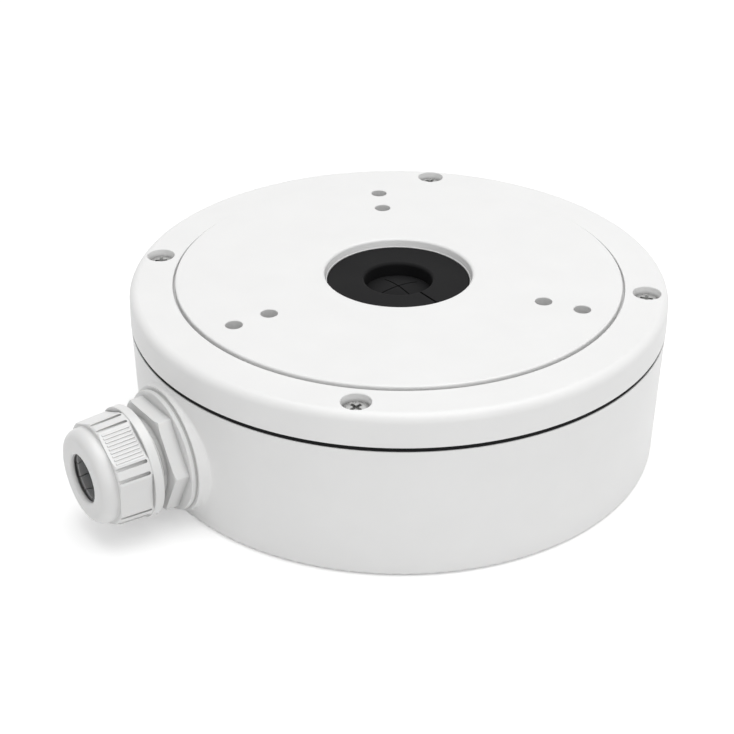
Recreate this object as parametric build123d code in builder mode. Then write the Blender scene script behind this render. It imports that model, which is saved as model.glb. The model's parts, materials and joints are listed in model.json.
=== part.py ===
"""Round cast junction box that carries a ceiling or wall camera.

The back face lies on Z = 0 with the origin at its centre, +Z points out through the cover,
and the cable gland leaves the side along -X. All sizes are in millimetres and degrees.
"""

from build123d import *
from math import cos, radians, sin, sqrt, tan
import os

# Overall sizes
box_height = 51.5
cover_radius = 78.5
cover_draft_angle = 1.8
cover_overhang = 0.1
body_draft_angle = 0.9
cover_height = 10.2
gasket_thickness = 1.2
gasket_inset = 0.25

# Cast walls of the body
wall = 3.0
floor_thickness = 2.5
back_recess_depth = 1.2
back_rim_width = 8.0
base_edge_fillet = 1.4
floor_corner_fillet = 3.0

# Cover plate
rim_step = 0.8
cover_edge_fillet = 2.6
groove_inset = 13.1
groove_width = 0.9
groove_depth = 1.6
face_edge_fillet = 0.35
plate_thickness = 3.0
skirt_wall = 3.6

# Cover screws, M4 pan head, each on its own sealing ring
screw_count = 4
screw_first_angle = 45.0
screw_rim_margin = 2.55
screw_shank_radius = 1.95
screw_head_radius = 3.6
screw_head_height = 2.4
screw_head_fillet = 0.5
screw_length = 12.0
screw_tip_chamfer = 0.5
screw_head_drop = 1.7
recess_arm_length = 4.2
recess_arm_width = 0.95
recess_depth = 1.3
recess_taper = 10.0
tap_clearance = 0.05
tap_extra_depth = 1.0
cover_hole_clearance = 0.35
counterbore_clearance = 0.35
counterbore_edge = 0.65
seal_thickness = 0.8
seal_clearance = 0.1
seal_side_gap = 0.1
boss_wall = 1.65

# Camera screw holes, in three pairs
camera_pair_count = 3
camera_pair_first_angle = 60.0
camera_edge_margin = 9.3
camera_pair_span = 11.4
camera_hole_radius = 2.42
camera_hole_depth = 7.0
camera_hole_edge = 0.35
camera_boss_radius = 4.6
camera_boss_floor = 1.5

# Centre hole and its rubber grommet
mouth_radius = 21.8
mouth_depth = 2.3
ledge_width = 0.9
grommet_side_gap = 0.1
flange_thickness = 1.5
web_reach = 2.9
web_thickness = 2.2
grommet_neck_gap = 0.1
lower_flange_grip = 2.2
lower_flange_thickness = 1.0
hub_wall = 2.7
port_radius = 10.0
port_edge_fillet = 0.6
diaphragm_rise = 1.7
diaphragm_thickness = 0.8
flange_edge_fillet = 0.4
slit_end_margin = 2.5
slit_width = 0.45
face_slit_width = 0.6
face_slit_length = 6.5
face_slit_depth = 1.5

# Wall screw holes and the rear cable entry
wall_hole_count = 4
wall_hole_first_angle = 45.0
wall_hole_inset = 16.0
wall_hole_radius = 2.7
wall_pad_radius = 6.5
wall_pad_height = 1.5
entry_radius = 13.0
plug_side_gap = 0.1
plug_inner_lip = 2.4
plug_inner_flange_thickness = 1.3
plug_outer_lip = 1.6
plug_recess_gap = 0.3
plug_wall = 2.4
plug_web_thickness = 1.2
plug_edge_fillet = 0.3

# Earthing screw
earth_x = 48.0
earth_boss_radius = 5.2
earth_boss_height = 6.0
earth_hole_floor = 1.3
earth_washer_radius = 4.6
earth_washer_thickness = 0.8
earth_screw_clearance = 0.2

# Cable gland: distances from the box's axis and radii about the gland's own axis
boss_base_margin = 0.2
boss_rim_margin = 2.1
gland_boss_rise = 1.1
gland_boss_fillet = 0.8
lock_pad_rise = 0.2
lock_pad_margin = 0.4
entry_step = 1.05
entry_thread_clearance = 0.15
entry_thread_lead = 0.9
washer_thickness = 0.6
washer_rim_inset = 0.7
washer_bore_gap = 0.1
flange_inset = 0.8
gland_flange_thickness = 1.2
flange_edge = 0.3
hex_inset = 3.4
hex_length = 4.2
hex_turn = 2.0
hex_chamfer = 0.9
hex_chamfer_angle = 30.0
neck_step = 1.7
neck_length = 10.0
thread_pitch = 1.5
thread_depth = 0.8
thread_crest_width = 0.3
hex_sides = 6
neck_wall = 1.3
claw_stop_width = 2.6
claw_bore_depth = 11.5

# Cap nut
nut_gap = 3.15
nut_thread_clearance = 0.1
collar_wall = 3.6
collar_length = 2.75
collar_edge = 0.4
grip_inset = 0.4
grip_narrowing = 0.5
panel_depth = 0.9
rib_count = 6
rib_first_angle = 25.3
rib_half_angle = 6.2
rib_groove_width = 1.0
rib_groove_depth = 0.9
groove_end_margin = 0.5
grip_edge = 0.6
ridged_panel_count = 3
ridge_count = 9
ridge_width = 0.5
ridge_height = 0.28
ridge_side_margin = 0.48
ridge_end_margin = 0.9
dome_length = 4.2
dome_inset = 0.7
dome_fillet = 2.8
mouth_inset = 0.7
mouth_edge = 0.6
mouth_lip_length = 1.2
cone_lead = 4.2
cone_step = 1.4
cone_angle = 43.0

# Clamping claw and cable seal
claw_clearance = 0.1
claw_skirt_wall = 1.4
claw_skirt_end_gap = 2.4
claw_flange_gap = 2.2
claw_cone_gap = 0.45
claw_tip_gap = 1.2
claw_tip_wall = 1.6
claw_slot_count = 12
claw_slot_width = 0.5
seal_bore_inset = 0.2
seal_wall_gap = 0.1
seal_front_gap = 0.2
seal_rear_gap = 0.6
seal_edge = 0.3

# Lock nut on the entry thread
lock_nut_wall = 2.25
lock_nut_length = 5.0
lock_nut_clearance = 0.05
lock_nut_chamfer = 0.9

# Heights that follow
face_z = box_height
rim_top_z = face_z - rim_step
cover_bottom_z = face_z - cover_height
body_top_z = cover_bottom_z - gasket_thickness
floor_bottom_z = back_recess_depth
floor_top_z = floor_bottom_z + floor_thickness
plate_bottom_z = rim_top_z - plate_thickness
ledge_z = face_z - mouth_depth
web_top_z = ledge_z - flange_thickness
web_bottom_z = web_top_z - web_thickness
screw_seat_z = rim_top_z - screw_head_drop - screw_head_height
seal_seat_z = screw_seat_z - seal_thickness

# Radii that follow
body_rim_radius = cover_radius - cover_overhang
body_base_radius = body_rim_radius - body_top_z * tan(radians(body_draft_angle))
cavity_rim_radius = body_rim_radius - wall
cavity_floor_radius = cavity_rim_radius - (body_top_z - floor_top_z) * tan(radians(body_draft_angle))
cover_top_radius = cover_radius - (rim_top_z - cover_bottom_z) * tan(radians(cover_draft_angle))
skirt_radius = cover_radius - skirt_wall
skirt_top_radius = skirt_radius - (plate_bottom_z - cover_bottom_z) * tan(radians(cover_draft_angle))
counterbore_radius = screw_head_radius + counterbore_clearance
screw_boss_radius = counterbore_radius + boss_wall
cover_screw_hole_radius = screw_shank_radius + cover_hole_clearance
tap_radius = screw_shank_radius + tap_clearance
screw_circle_radius = cover_radius - screw_rim_margin - counterbore_radius
wall_hole_circle_radius = screw_circle_radius - wall_hole_inset
groove_radius = cover_radius - groove_inset
camera_outer_radius = groove_radius - camera_edge_margin
camera_inner_radius = camera_outer_radius - camera_pair_span
grommet_radius = mouth_radius - ledge_width
web_radius = grommet_radius - web_reach
lower_flange_radius = web_radius + lower_flange_grip
hub_radius = mouth_radius + hub_wall

# Gland: its boss fills the body's side between base and rim, and each part of the gland steps in from it
gland_boss_radius = (body_top_z - boss_rim_margin - boss_base_margin - base_edge_fillet) / 2
gland_height = base_edge_fillet + boss_base_margin + gland_boss_radius
gland_boss_face = body_rim_radius + gland_boss_rise
flange_radius = gland_boss_radius - flange_inset
hex_across_flats = 2 * (flange_radius - hex_inset)
hex_corner_radius = hex_across_flats / sqrt(3)
neck_radius = hex_across_flats / 2 - neck_step
entry_thread_radius = neck_radius - entry_step
claw_bore_radius = neck_radius - thread_depth - neck_wall
cable_bore_radius = claw_bore_radius - claw_stop_width
lock_nut_across_flats = 2 * (entry_thread_radius + lock_nut_wall)
lock_nut_corner_radius = lock_nut_across_flats / sqrt(3)
lock_pad_radius = lock_nut_corner_radius + lock_pad_margin
lock_pad_face = sqrt(cavity_floor_radius**2 - lock_pad_radius**2) - lock_pad_rise

# Planes and axes: the gland's own Z runs out along its axis, its X to the front, its Y up
gland_plane = Plane(origin=(0, 0, gland_height), x_dir=(0, -1, 0), z_dir=(-1, 0, 0))
gland_section = Plane(origin=(0, 0, gland_height), x_dir=(-1, 0, 0), z_dir=(0, 1, 0))
gland_axis = Axis((0, 0, gland_height), (-1, 0, 0))


def ring_edges(part, radius, height):
    """Edges of a part that are level circles of one radius at one height."""
    near = 0.01
    circles = part.edges().filter_by(GeomType.CIRCLE)
    return circles.filter_by(lambda e: abs(e.radius - radius) < near and abs(e.center().Z - height) < near)


def thread_outline(start, end, crest_radius):
    """Points of a thread's crests and roots from one distance along the axis to another."""
    root_radius = crest_radius - thread_depth
    flank = (thread_pitch - thread_crest_width) / 2
    turns = int((end - start) / thread_pitch)
    points = []
    for turn in range(turns):
        foot = start + turn * thread_pitch
        points += [(foot, root_radius), (foot + flank, crest_radius)]
        points += [(foot + flank + thread_crest_width, crest_radius)]
    return points + [(start + turns * thread_pitch, root_radius), (end, root_radius)]


def grip_plane(turn, distance, lean=0):
    """Plane half-way along the cap nut's grip that faces away from its axis, with Y running out along it."""
    across = Vector(cos(radians(turn)), sin(radians(turn)), 0)
    middle = gland_plane.from_local_coords(across * distance + Vector(0, 0, (grip_rear + grip_front) / 2))
    outward = gland_plane.from_local_coords(across + Vector(0, 0, lean)) - gland_plane.origin
    sideways = gland_plane.from_local_coords(across.rotate(Axis.Z, 90)) - gland_plane.origin
    return Plane(origin=middle, x_dir=sideways, z_dir=outward)


# Body: an outer turned form with the gland's boss, hollowed, then fitted with what stands inside
earth_hole_depth = earth_boss_height + floor_thickness - earth_hole_floor
with BuildPart() as box_body:
    with BuildSketch(Plane.XZ):
        with BuildLine():
            Polyline(
                (0, 0), (body_base_radius, 0), (body_rim_radius, body_top_z), (0, body_top_z), close=True
            )
        make_face()
    revolve(axis=Axis.Z)
    fillet(ring_edges(box_body, body_base_radius, 0), base_edge_fillet)
    with BuildSketch(gland_plane.offset(lock_pad_face)):
        Circle(gland_boss_radius)
    extrude(amount=gland_boss_face - lock_pad_face)
    boss_root = box_body.edges().filter_by(GeomType.BSPLINE)
    fillet(boss_root, gland_boss_fillet)
    with BuildSketch(Plane.XZ):
        with BuildLine():
            Polyline(
                (0, floor_top_z),
                (cavity_floor_radius, floor_top_z),
                (cavity_rim_radius, body_top_z),
                (0, body_top_z),
                close=True,
            )
        make_face()
    revolve(axis=Axis.Z, mode=Mode.SUBTRACT)
    fillet(ring_edges(box_body, cavity_floor_radius, floor_top_z), floor_corner_fillet)
    with BuildSketch(Plane.XY):
        Circle(body_base_radius - back_rim_width)
        with PolarLocations(wall_hole_circle_radius, wall_hole_count, wall_hole_first_angle):
            Circle(wall_pad_radius, mode=Mode.SUBTRACT)
    extrude(amount=back_recess_depth, mode=Mode.SUBTRACT)
    with BuildSketch(Plane.XY.offset(floor_top_z)):
        with PolarLocations(wall_hole_circle_radius, wall_hole_count, wall_hole_first_angle):
            Circle(wall_pad_radius)
    extrude(amount=wall_pad_height)
    with BuildSketch(Plane.XY.offset(floor_top_z)):
        with PolarLocations(screw_circle_radius, screw_count, screw_first_angle):
            Circle(screw_boss_radius)
    extrude(amount=body_top_z - floor_top_z)
    with BuildSketch(Plane.XY.offset(floor_top_z)):
        with Locations((earth_x, 0)):
            Circle(earth_boss_radius)
    extrude(amount=earth_boss_height)
    with BuildSketch(gland_plane.offset(lock_pad_face)):
        Circle(lock_pad_radius)
    extrude(amount=wall)
    with Locations(gland_plane.offset(gland_boss_face)):
        Hole(entry_thread_radius + entry_thread_clearance, depth=gland_boss_face - lock_pad_face + wall)
    with Locations(Plane.XY.offset(floor_top_z)):
        Hole(entry_radius, depth=floor_top_z)
    with Locations(Plane.XY.offset(floor_top_z + wall_pad_height)):
        with PolarLocations(wall_hole_circle_radius, wall_hole_count, wall_hole_first_angle):
            Hole(wall_hole_radius, depth=floor_top_z + wall_pad_height)
    with Locations(Plane.XY.offset(body_top_z)):
        with PolarLocations(screw_circle_radius, screw_count, screw_first_angle):
            Hole(tap_radius, depth=screw_length + tap_extra_depth - (screw_seat_z - body_top_z))
    with Locations(Plane.XY.offset(floor_top_z + earth_boss_height)):
        with Locations((earth_x, 0)):
            Hole(tap_radius, depth=earth_hole_depth)
box_body.part.label = "box_body"

# Cover: turned plate with a skirt, then bosses, sunk screw holes and blind camera holes
groove_inner = groove_radius - groove_width / 2
groove_outer = groove_radius + groove_width / 2
camera_pair_radius = (camera_outer_radius + camera_inner_radius) / 2
camera_boss_z = face_z - camera_hole_depth - camera_boss_floor
with BuildPart() as cover:
    with BuildSketch(Plane.XZ):
        with BuildLine():
            Polyline(
                (web_radius, web_bottom_z),
                (web_radius, web_top_z),
                (grommet_radius + grommet_side_gap, web_top_z),
                (grommet_radius + grommet_side_gap, ledge_z),
                (mouth_radius, ledge_z),
                (mouth_radius, face_z),
                (groove_inner, face_z),
                (groove_inner, rim_top_z - groove_depth),
                (groove_outer, rim_top_z - groove_depth),
                (groove_outer, rim_top_z),
                (cover_top_radius, rim_top_z),
                (cover_radius, cover_bottom_z),
                (skirt_radius, cover_bottom_z),
                (skirt_top_radius, plate_bottom_z),
                (hub_radius, plate_bottom_z),
                (hub_radius, web_bottom_z),
                close=True,
            )
        make_face()
    revolve(axis=Axis.Z)
    fillet(ring_edges(cover, cover_top_radius, rim_top_z), cover_edge_fillet)
    fillet(ring_edges(cover, groove_inner, face_z), face_edge_fillet)
    fillet(ring_edges(cover, groove_outer, rim_top_z), face_edge_fillet)
    fillet(ring_edges(cover, mouth_radius, face_z), face_edge_fillet)
    with BuildSketch(Plane.XY.offset(cover_bottom_z)):
        with PolarLocations(screw_circle_radius, screw_count, screw_first_angle):
            Circle(screw_boss_radius)
    extrude(amount=plate_bottom_z - cover_bottom_z)
    with BuildSketch(Plane.XY.offset(camera_boss_z)):
        with PolarLocations(camera_pair_radius, camera_pair_count, camera_pair_first_angle):
            SlotCenterToCenter(camera_pair_span, 2 * camera_boss_radius)
    extrude(amount=plate_bottom_z - camera_boss_z)
    with Locations(Plane.XY.offset(rim_top_z)):
        with PolarLocations(screw_circle_radius, screw_count, screw_first_angle):
            CounterBoreHole(cover_screw_hole_radius, counterbore_radius, rim_top_z - seal_seat_z)
    with Locations(Plane.XY.offset(face_z)):
        for circle_radius in (camera_inner_radius, camera_outer_radius):
            with PolarLocations(circle_radius, camera_pair_count, camera_pair_first_angle):
                Hole(camera_hole_radius, depth=camera_hole_depth)
    fillet(ring_edges(cover, counterbore_radius, rim_top_z), counterbore_edge)
    fillet(ring_edges(cover, camera_hole_radius, face_z), camera_hole_edge)
cover.part.label = "cover"

# Gasket: flat ring on the body's rim with an ear round each cover screw
with BuildPart() as cover_gasket:
    with BuildSketch(Plane.XY.offset(body_top_z)):
        Circle(body_rim_radius - gasket_inset)
        Circle(cavity_rim_radius, mode=Mode.SUBTRACT)
        with PolarLocations(screw_circle_radius, screw_count, screw_first_angle):
            Circle(screw_boss_radius)
        with PolarLocations(screw_circle_radius, screw_count, screw_first_angle):
            Circle(cover_screw_hole_radius, mode=Mode.SUBTRACT)
    extrude(amount=gasket_thickness)
cover_gasket.part.label = "cover_gasket"

# Grommet: two flanges grip the cover's web, and a slit diaphragm domes up across the port
lower_flange_z = web_bottom_z - lower_flange_thickness
diaphragm_edge_z = lower_flange_z + lower_flange_thickness / 2
diaphragm_top_z = diaphragm_edge_z + diaphragm_rise
diaphragm_curve = (port_radius**2 + diaphragm_rise**2) / (2 * diaphragm_rise)
under_curve = diaphragm_curve - diaphragm_thickness
under_centre_z = diaphragm_top_z - diaphragm_curve
under_radius = sqrt(under_curve**2 - (lower_flange_z - under_centre_z) ** 2)
grommet_neck_radius = web_radius - grommet_neck_gap
cross_slit_length = 2 * (port_radius - slit_end_margin)
with BuildPart() as cable_grommet:
    with BuildSketch(Plane.XZ):
        with BuildLine():
            Polyline(
                (under_radius, lower_flange_z),
                (lower_flange_radius, lower_flange_z),
                (lower_flange_radius, web_bottom_z),
                (grommet_neck_radius, web_bottom_z),
                (grommet_neck_radius, web_top_z),
                (grommet_radius, web_top_z),
                (grommet_radius, ledge_z),
                (port_radius, ledge_z),
                (port_radius, diaphragm_edge_z),
            )
            RadiusArc((port_radius, diaphragm_edge_z), (0, diaphragm_top_z), -diaphragm_curve)
            Line((0, diaphragm_top_z), (0, diaphragm_top_z - diaphragm_thickness))
            RadiusArc((0, diaphragm_top_z - diaphragm_thickness), (under_radius, lower_flange_z), under_curve)
        make_face()
    revolve(axis=Axis.Z)
    fillet(ring_edges(cable_grommet, port_radius, ledge_z), port_edge_fillet)
    fillet(ring_edges(cable_grommet, grommet_radius, ledge_z), flange_edge_fillet)
    with BuildSketch(Plane.XY.offset(lower_flange_z)):
        Rectangle(cross_slit_length, slit_width)
        Rectangle(slit_width, cross_slit_length)
    extrude(amount=diaphragm_top_z - lower_flange_z, mode=Mode.SUBTRACT)
    with BuildSketch(Plane.XY.offset(ledge_z)):
        with Locations((0, -port_radius - face_slit_length / 2)):
            Rectangle(face_slit_width, face_slit_length)
    extrude(amount=-face_slit_depth, mode=Mode.SUBTRACT)
cable_grommet.part.label = "cable_grommet"


def pan_head_screw(seat, length):
    """Pan-head screw with a cross recess, its head's underside on a plane."""
    with BuildPart() as screw:
        with BuildSketch(seat):
            Circle(screw_head_radius)
        extrude(amount=screw_head_height)
        fillet(screw.faces().sort_by(Axis.Z)[-1].edges(), screw_head_fillet)
        with BuildSketch(seat.offset(screw_head_height)):
            Rectangle(recess_arm_length, recess_arm_width)
            Rectangle(recess_arm_width, recess_arm_length)
        extrude(amount=-recess_depth, taper=recess_taper, mode=Mode.SUBTRACT)
        with BuildSketch(seat):
            Circle(screw_shank_radius)
        extrude(amount=-length)
        chamfer(screw.faces().sort_by(Axis.Z)[0].edges(), screw_tip_chamfer)
    return screw


# Cover screws and their sealing rings, one pair in each counterbore
cover_screws = []
screw_seals = []
for number in range(screw_count):
    turn = screw_first_angle + number * 360 / screw_count
    seat_x = screw_circle_radius * cos(radians(turn))
    seat_y = screw_circle_radius * sin(radians(turn))
    screw_seat = Plane(origin=(seat_x, seat_y, screw_seat_z))
    cover_screw = pan_head_screw(screw_seat, screw_length)
    cover_screw.part.label = f"cover_screw_{number + 1}"
    cover_screws.append(cover_screw)
    with BuildPart() as screw_seal:
        with BuildSketch(screw_seat.offset(-seal_thickness)):
            Circle(counterbore_radius - seal_side_gap)
            Circle(screw_shank_radius + seal_clearance, mode=Mode.SUBTRACT)
        extrude(amount=seal_thickness)
    screw_seal.part.label = f"screw_seal_{number + 1}"
    screw_seals.append(screw_seal)

# Earthing screw on its washer
washer_z = floor_top_z + earth_boss_height
with BuildPart() as earth_washer:
    with BuildSketch(Plane(origin=(earth_x, 0, washer_z))):
        Circle(earth_washer_radius)
        Circle(screw_shank_radius + earth_screw_clearance, mode=Mode.SUBTRACT)
    extrude(amount=earth_washer_thickness)
earth_washer.part.label = "earth_washer"
earth_screw_seat = Plane(origin=(earth_x, 0, washer_z + earth_washer_thickness))
earth_screw = pan_head_screw(earth_screw_seat, earth_hole_depth - tap_extra_depth + earth_washer_thickness)
earth_screw.part.label = "earth_screw"

# Plug of the rear cable entry: a cup gripped by the floor between two flanges
plug_bottom_z = plug_recess_gap
plug_top_z = floor_top_z + plug_inner_flange_thickness
plug_neck_radius = entry_radius - plug_side_gap
plug_inner_flange_radius = entry_radius + plug_inner_lip
plug_outer_flange_radius = entry_radius + plug_outer_lip
plug_cup_radius = plug_neck_radius - plug_wall
with BuildPart() as rear_plug:
    with BuildSketch(Plane.XZ):
        with BuildLine():
            Polyline(
                (0, plug_bottom_z),
                (plug_outer_flange_radius, plug_bottom_z),
                (plug_outer_flange_radius, floor_bottom_z),
                (plug_neck_radius, floor_bottom_z),
                (plug_neck_radius, floor_top_z),
                (plug_inner_flange_radius, floor_top_z),
                (plug_inner_flange_radius, plug_top_z),
                (plug_cup_radius, plug_top_z),
                (plug_cup_radius, plug_bottom_z + plug_web_thickness),
                (0, plug_bottom_z + plug_web_thickness),
                close=True,
            )
        make_face()
    revolve(axis=Axis.Z)
    fillet(ring_edges(rear_plug, plug_outer_flange_radius, plug_bottom_z), plug_edge_fillet)
    fillet(ring_edges(rear_plug, plug_inner_flange_radius, plug_top_z), plug_edge_fillet)
rear_plug.part.label = "rear_plug"

# Gland body: flange and hexagon outside, entry thread through the wall, neck thread for the cap nut
flange_face = gland_boss_face + washer_thickness
hex_start = flange_face + gland_flange_thickness
hex_end = hex_start + hex_length
neck_end = hex_end + neck_length
entry_end = lock_pad_face - lock_nut_length - entry_thread_lead
with BuildPart() as gland_body:
    with BuildSketch(gland_plane.offset(hex_start)):
        RegularPolygon(hex_across_flats / 2, hex_sides, major_radius=False, rotation=hex_turn)
    extrude(amount=hex_length)
    with BuildSketch(gland_section):
        with BuildLine():
            Polyline(
                (hex_start, 0),
                (hex_start, hex_corner_radius),
                (hex_end - hex_chamfer * tan(radians(hex_chamfer_angle)), hex_corner_radius),
                (hex_end, hex_corner_radius - hex_chamfer),
                (hex_end, 0),
                close=True,
            )
        make_face()
    revolve(axis=gland_axis, mode=Mode.INTERSECT)
    with BuildSketch(gland_section):
        with BuildLine():
            Polyline(
                [(entry_end, 0)]
                + thread_outline(entry_end, gland_boss_face, entry_thread_radius)
                + [(flange_face, entry_thread_radius - thread_depth), (flange_face, flange_radius)]
                + [(hex_start - flange_edge, flange_radius), (hex_start, flange_radius - flange_edge)]
                + [(hex_start, neck_radius - thread_depth)]
                + thread_outline(hex_end + thread_pitch / 2, neck_end, neck_radius)
                + [(neck_end, 0)],
                close=True,
            )
        make_face()
    revolve(axis=gland_axis)
    with Locations(gland_plane.offset(neck_end)):
        CounterBoreHole(cable_bore_radius, claw_bore_radius, claw_bore_depth)
gland_body.part.label = "gland_body"

# Sealing washer under the gland's flange
with BuildPart() as gland_washer:
    with BuildSketch(gland_plane.offset(gland_boss_face)):
        Circle(flange_radius - washer_rim_inset)
        Circle(entry_thread_radius + washer_bore_gap, mode=Mode.SUBTRACT)
    extrude(amount=washer_thickness)
gland_washer.part.label = "gland_washer"

# Lock nut against the flat pad inside the wall, its corners cut back at both faces
lock_nut_end = lock_pad_face - lock_nut_length
lock_nut_slope = lock_nut_chamfer * tan(radians(hex_chamfer_angle))
with BuildPart() as gland_lock_nut:
    with BuildSketch(gland_plane.offset(lock_nut_end)):
        RegularPolygon(lock_nut_across_flats / 2, hex_sides, major_radius=False)
    extrude(amount=lock_nut_length)
    with BuildSketch(gland_section):
        with BuildLine():
            Polyline(
                (lock_nut_end, entry_thread_radius + lock_nut_clearance),
                (lock_nut_end, lock_nut_corner_radius - lock_nut_chamfer),
                (lock_nut_end + lock_nut_slope, lock_nut_corner_radius),
                (lock_pad_face - lock_nut_slope, lock_nut_corner_radius),
                (lock_pad_face, lock_nut_corner_radius - lock_nut_chamfer),
                (lock_pad_face, entry_thread_radius + lock_nut_clearance),
                close=True,
            )
        make_face()
    revolve(axis=gland_axis, mode=Mode.INTERSECT)
gland_lock_nut.part.label = "gland_lock_nut"

# Cap nut: tapered hexagonal grip trimmed to a cone, collar and dome, then thread bore and cone
nut_bore_radius = neck_radius + nut_thread_clearance
mouth_bore_radius = cable_bore_radius - mouth_inset
cone_front_radius = mouth_bore_radius + cone_step
cone_rear = neck_end + cone_lead
cone_front = cone_rear + (nut_bore_radius - cone_front_radius) / tan(radians(cone_angle))
nut_rear = hex_end + nut_gap
nut_front = cone_front + mouth_lip_length
grip_rear = nut_rear + collar_length
grip_front = nut_front - dome_length
grip_length = grip_front - grip_rear
collar_radius = nut_bore_radius + collar_wall
grip_rear_radius = collar_radius - grip_inset
grip_front_radius = grip_rear_radius - grip_narrowing
panel_rear_distance = grip_rear_radius - panel_depth
panel_front_distance = grip_front_radius - panel_depth
panel_distance = (panel_rear_distance + panel_front_distance) / 2
dome_rear_radius = panel_front_distance - dome_inset

# Grip grooves beside each rib, round-ended before the collar, and ridges on every other panel
groove_floor_radius = grip_front_radius - rib_groove_depth
groove_turns = [rib_first_angle + rib * 360 / rib_count for rib in range(rib_count)]
groove_planes = [grip_plane(turn - rib_half_angle, collar_radius) for turn in groove_turns]
groove_planes += [grip_plane(turn + rib_half_angle, collar_radius) for turn in groove_turns]
panel_half_width = sqrt(grip_front_radius**2 - panel_front_distance**2)
ridge_pitch = (2 * (panel_half_width - ridge_side_margin) - ridge_width) / (ridge_count - 1)
ridge_planes = [
    grip_plane(
        rib_first_angle + 180 / rib_count + panel * 360 / ridged_panel_count,
        panel_distance,
        lean=(panel_rear_distance - panel_front_distance) / grip_length,
    )
    for panel in range(ridged_panel_count)
]
with BuildPart() as gland_cap_nut:
    with BuildSketch(gland_plane.offset(grip_rear)):
        RegularPolygon(panel_rear_distance, rib_count, major_radius=False, rotation=rib_first_angle)
    with BuildSketch(gland_plane.offset(grip_front)):
        RegularPolygon(panel_front_distance, rib_count, major_radius=False, rotation=rib_first_angle)
    loft()
    with BuildSketch(gland_section):
        with BuildLine():
            Polyline(
                (grip_rear, 0),
                (grip_rear, grip_rear_radius),
                (grip_front - grip_edge, grip_front_radius),
                (grip_front, grip_front_radius - grip_edge),
                (grip_front, 0),
                close=True,
            )
        make_face()
    revolve(axis=gland_axis, mode=Mode.INTERSECT)
    with BuildSketch(*groove_planes):
        with Locations((0, groove_end_margin + rib_groove_width / 2)):
            SlotCenterToCenter(grip_length, rib_groove_width, rotation=90)
    extrude(amount=groove_floor_radius - collar_radius, mode=Mode.SUBTRACT)
    with BuildSketch(*ridge_planes):
        with GridLocations(ridge_pitch, 0, ridge_count, 1):
            Rectangle(ridge_width, grip_length - 2 * ridge_end_margin)
    extrude(amount=ridge_height)
    with BuildSketch(gland_section):
        with BuildLine():
            Polyline(
                (nut_rear, 0),
                (nut_rear, collar_radius - collar_edge),
                (nut_rear + collar_edge, collar_radius),
                (grip_rear - collar_edge, collar_radius),
                (grip_rear, collar_radius - collar_edge),
                (grip_rear, 0),
                close=True,
            )
        make_face()
    revolve(axis=gland_axis)
    with BuildSketch(gland_section):
        with BuildLine():
            Line((grip_front, 0), (grip_front, dome_rear_radius))
            Line((grip_front, dome_rear_radius), (nut_front - dome_fillet, dome_rear_radius))
            RadiusArc(
                (nut_front - dome_fillet, dome_rear_radius),
                (nut_front, dome_rear_radius - dome_fillet),
                dome_fillet,
            )
            Line((nut_front, dome_rear_radius - dome_fillet), (nut_front, 0))
            Line((nut_front, 0), (grip_front, 0))
        make_face()
    revolve(axis=gland_axis)
    with BuildSketch(gland_section):
        with BuildLine():
            Polyline(
                (nut_rear, 0),
                (nut_rear, nut_bore_radius + mouth_edge),
                (nut_rear + mouth_edge, nut_bore_radius),
                (cone_rear, nut_bore_radius),
                (cone_front, cone_front_radius),
                (cone_front, mouth_bore_radius),
                (nut_front - mouth_edge, mouth_bore_radius),
                (nut_front, mouth_bore_radius + mouth_edge),
                (nut_front, 0),
                close=True,
            )
        make_face()
    revolve(axis=gland_axis, mode=Mode.SUBTRACT)
gland_cap_nut.part.label = "gland_cap_nut"

# Claw: skirt that slides in the neck, flange, and fingers that the nut's cone bends inwards
skirt_start = neck_end - claw_bore_depth + claw_skirt_end_gap
skirt_outer_radius = claw_bore_radius - claw_clearance
skirt_inner_radius = skirt_outer_radius - claw_skirt_wall
claw_flange_start = neck_end + claw_flange_gap
claw_flange_radius = nut_bore_radius - claw_cone_gap
cone_foot_radius = cone_front_radius - claw_cone_gap / cos(radians(cone_angle))
claw_cone_start = cone_front - (claw_flange_radius - cone_foot_radius) / tan(radians(cone_angle))
claw_tip = cone_front - claw_tip_gap
claw_tip_radius = cone_foot_radius + claw_tip_gap * tan(radians(cone_angle))
with BuildPart() as gland_claw:
    with BuildSketch(gland_section):
        with BuildLine():
            Polyline(
                (skirt_start, skirt_inner_radius),
                (skirt_start, skirt_outer_radius),
                (claw_flange_start, skirt_outer_radius),
                (claw_flange_start, claw_flange_radius),
                (claw_cone_start, claw_flange_radius),
                (claw_tip, claw_tip_radius),
                (claw_tip, claw_tip_radius - claw_tip_wall),
                (claw_cone_start, skirt_inner_radius),
                close=True,
            )
        make_face()
    revolve(axis=gland_axis)
    with BuildSketch(gland_plane.offset(claw_cone_start)):
        with PolarLocations(claw_flange_radius, claw_slot_count):
            Rectangle(2 * (claw_flange_radius - mouth_bore_radius), claw_slot_width)
    extrude(amount=claw_tip - claw_cone_start, mode=Mode.SUBTRACT)
gland_claw.part.label = "gland_claw"

# Seal: rubber sleeve inside the claw, squeezed on the cable
seal_start = skirt_start + seal_rear_gap
seal_end = claw_cone_start - seal_front_gap
seal_outer_radius = skirt_inner_radius - seal_wall_gap
seal_bore_radius = mouth_bore_radius - seal_bore_inset
with BuildPart() as gland_seal:
    with BuildSketch(gland_section):
        with BuildLine():
            Polyline(
                (seal_start, seal_bore_radius + seal_edge),
                (seal_start, seal_outer_radius),
                (seal_end, seal_outer_radius),
                (seal_end, seal_bore_radius + seal_edge),
                (seal_end - seal_edge, seal_bore_radius),
                (seal_start + seal_edge, seal_bore_radius),
                close=True,
            )
        make_face()
    revolve(axis=gland_axis)
gland_seal.part.label = "gland_seal"

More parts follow.
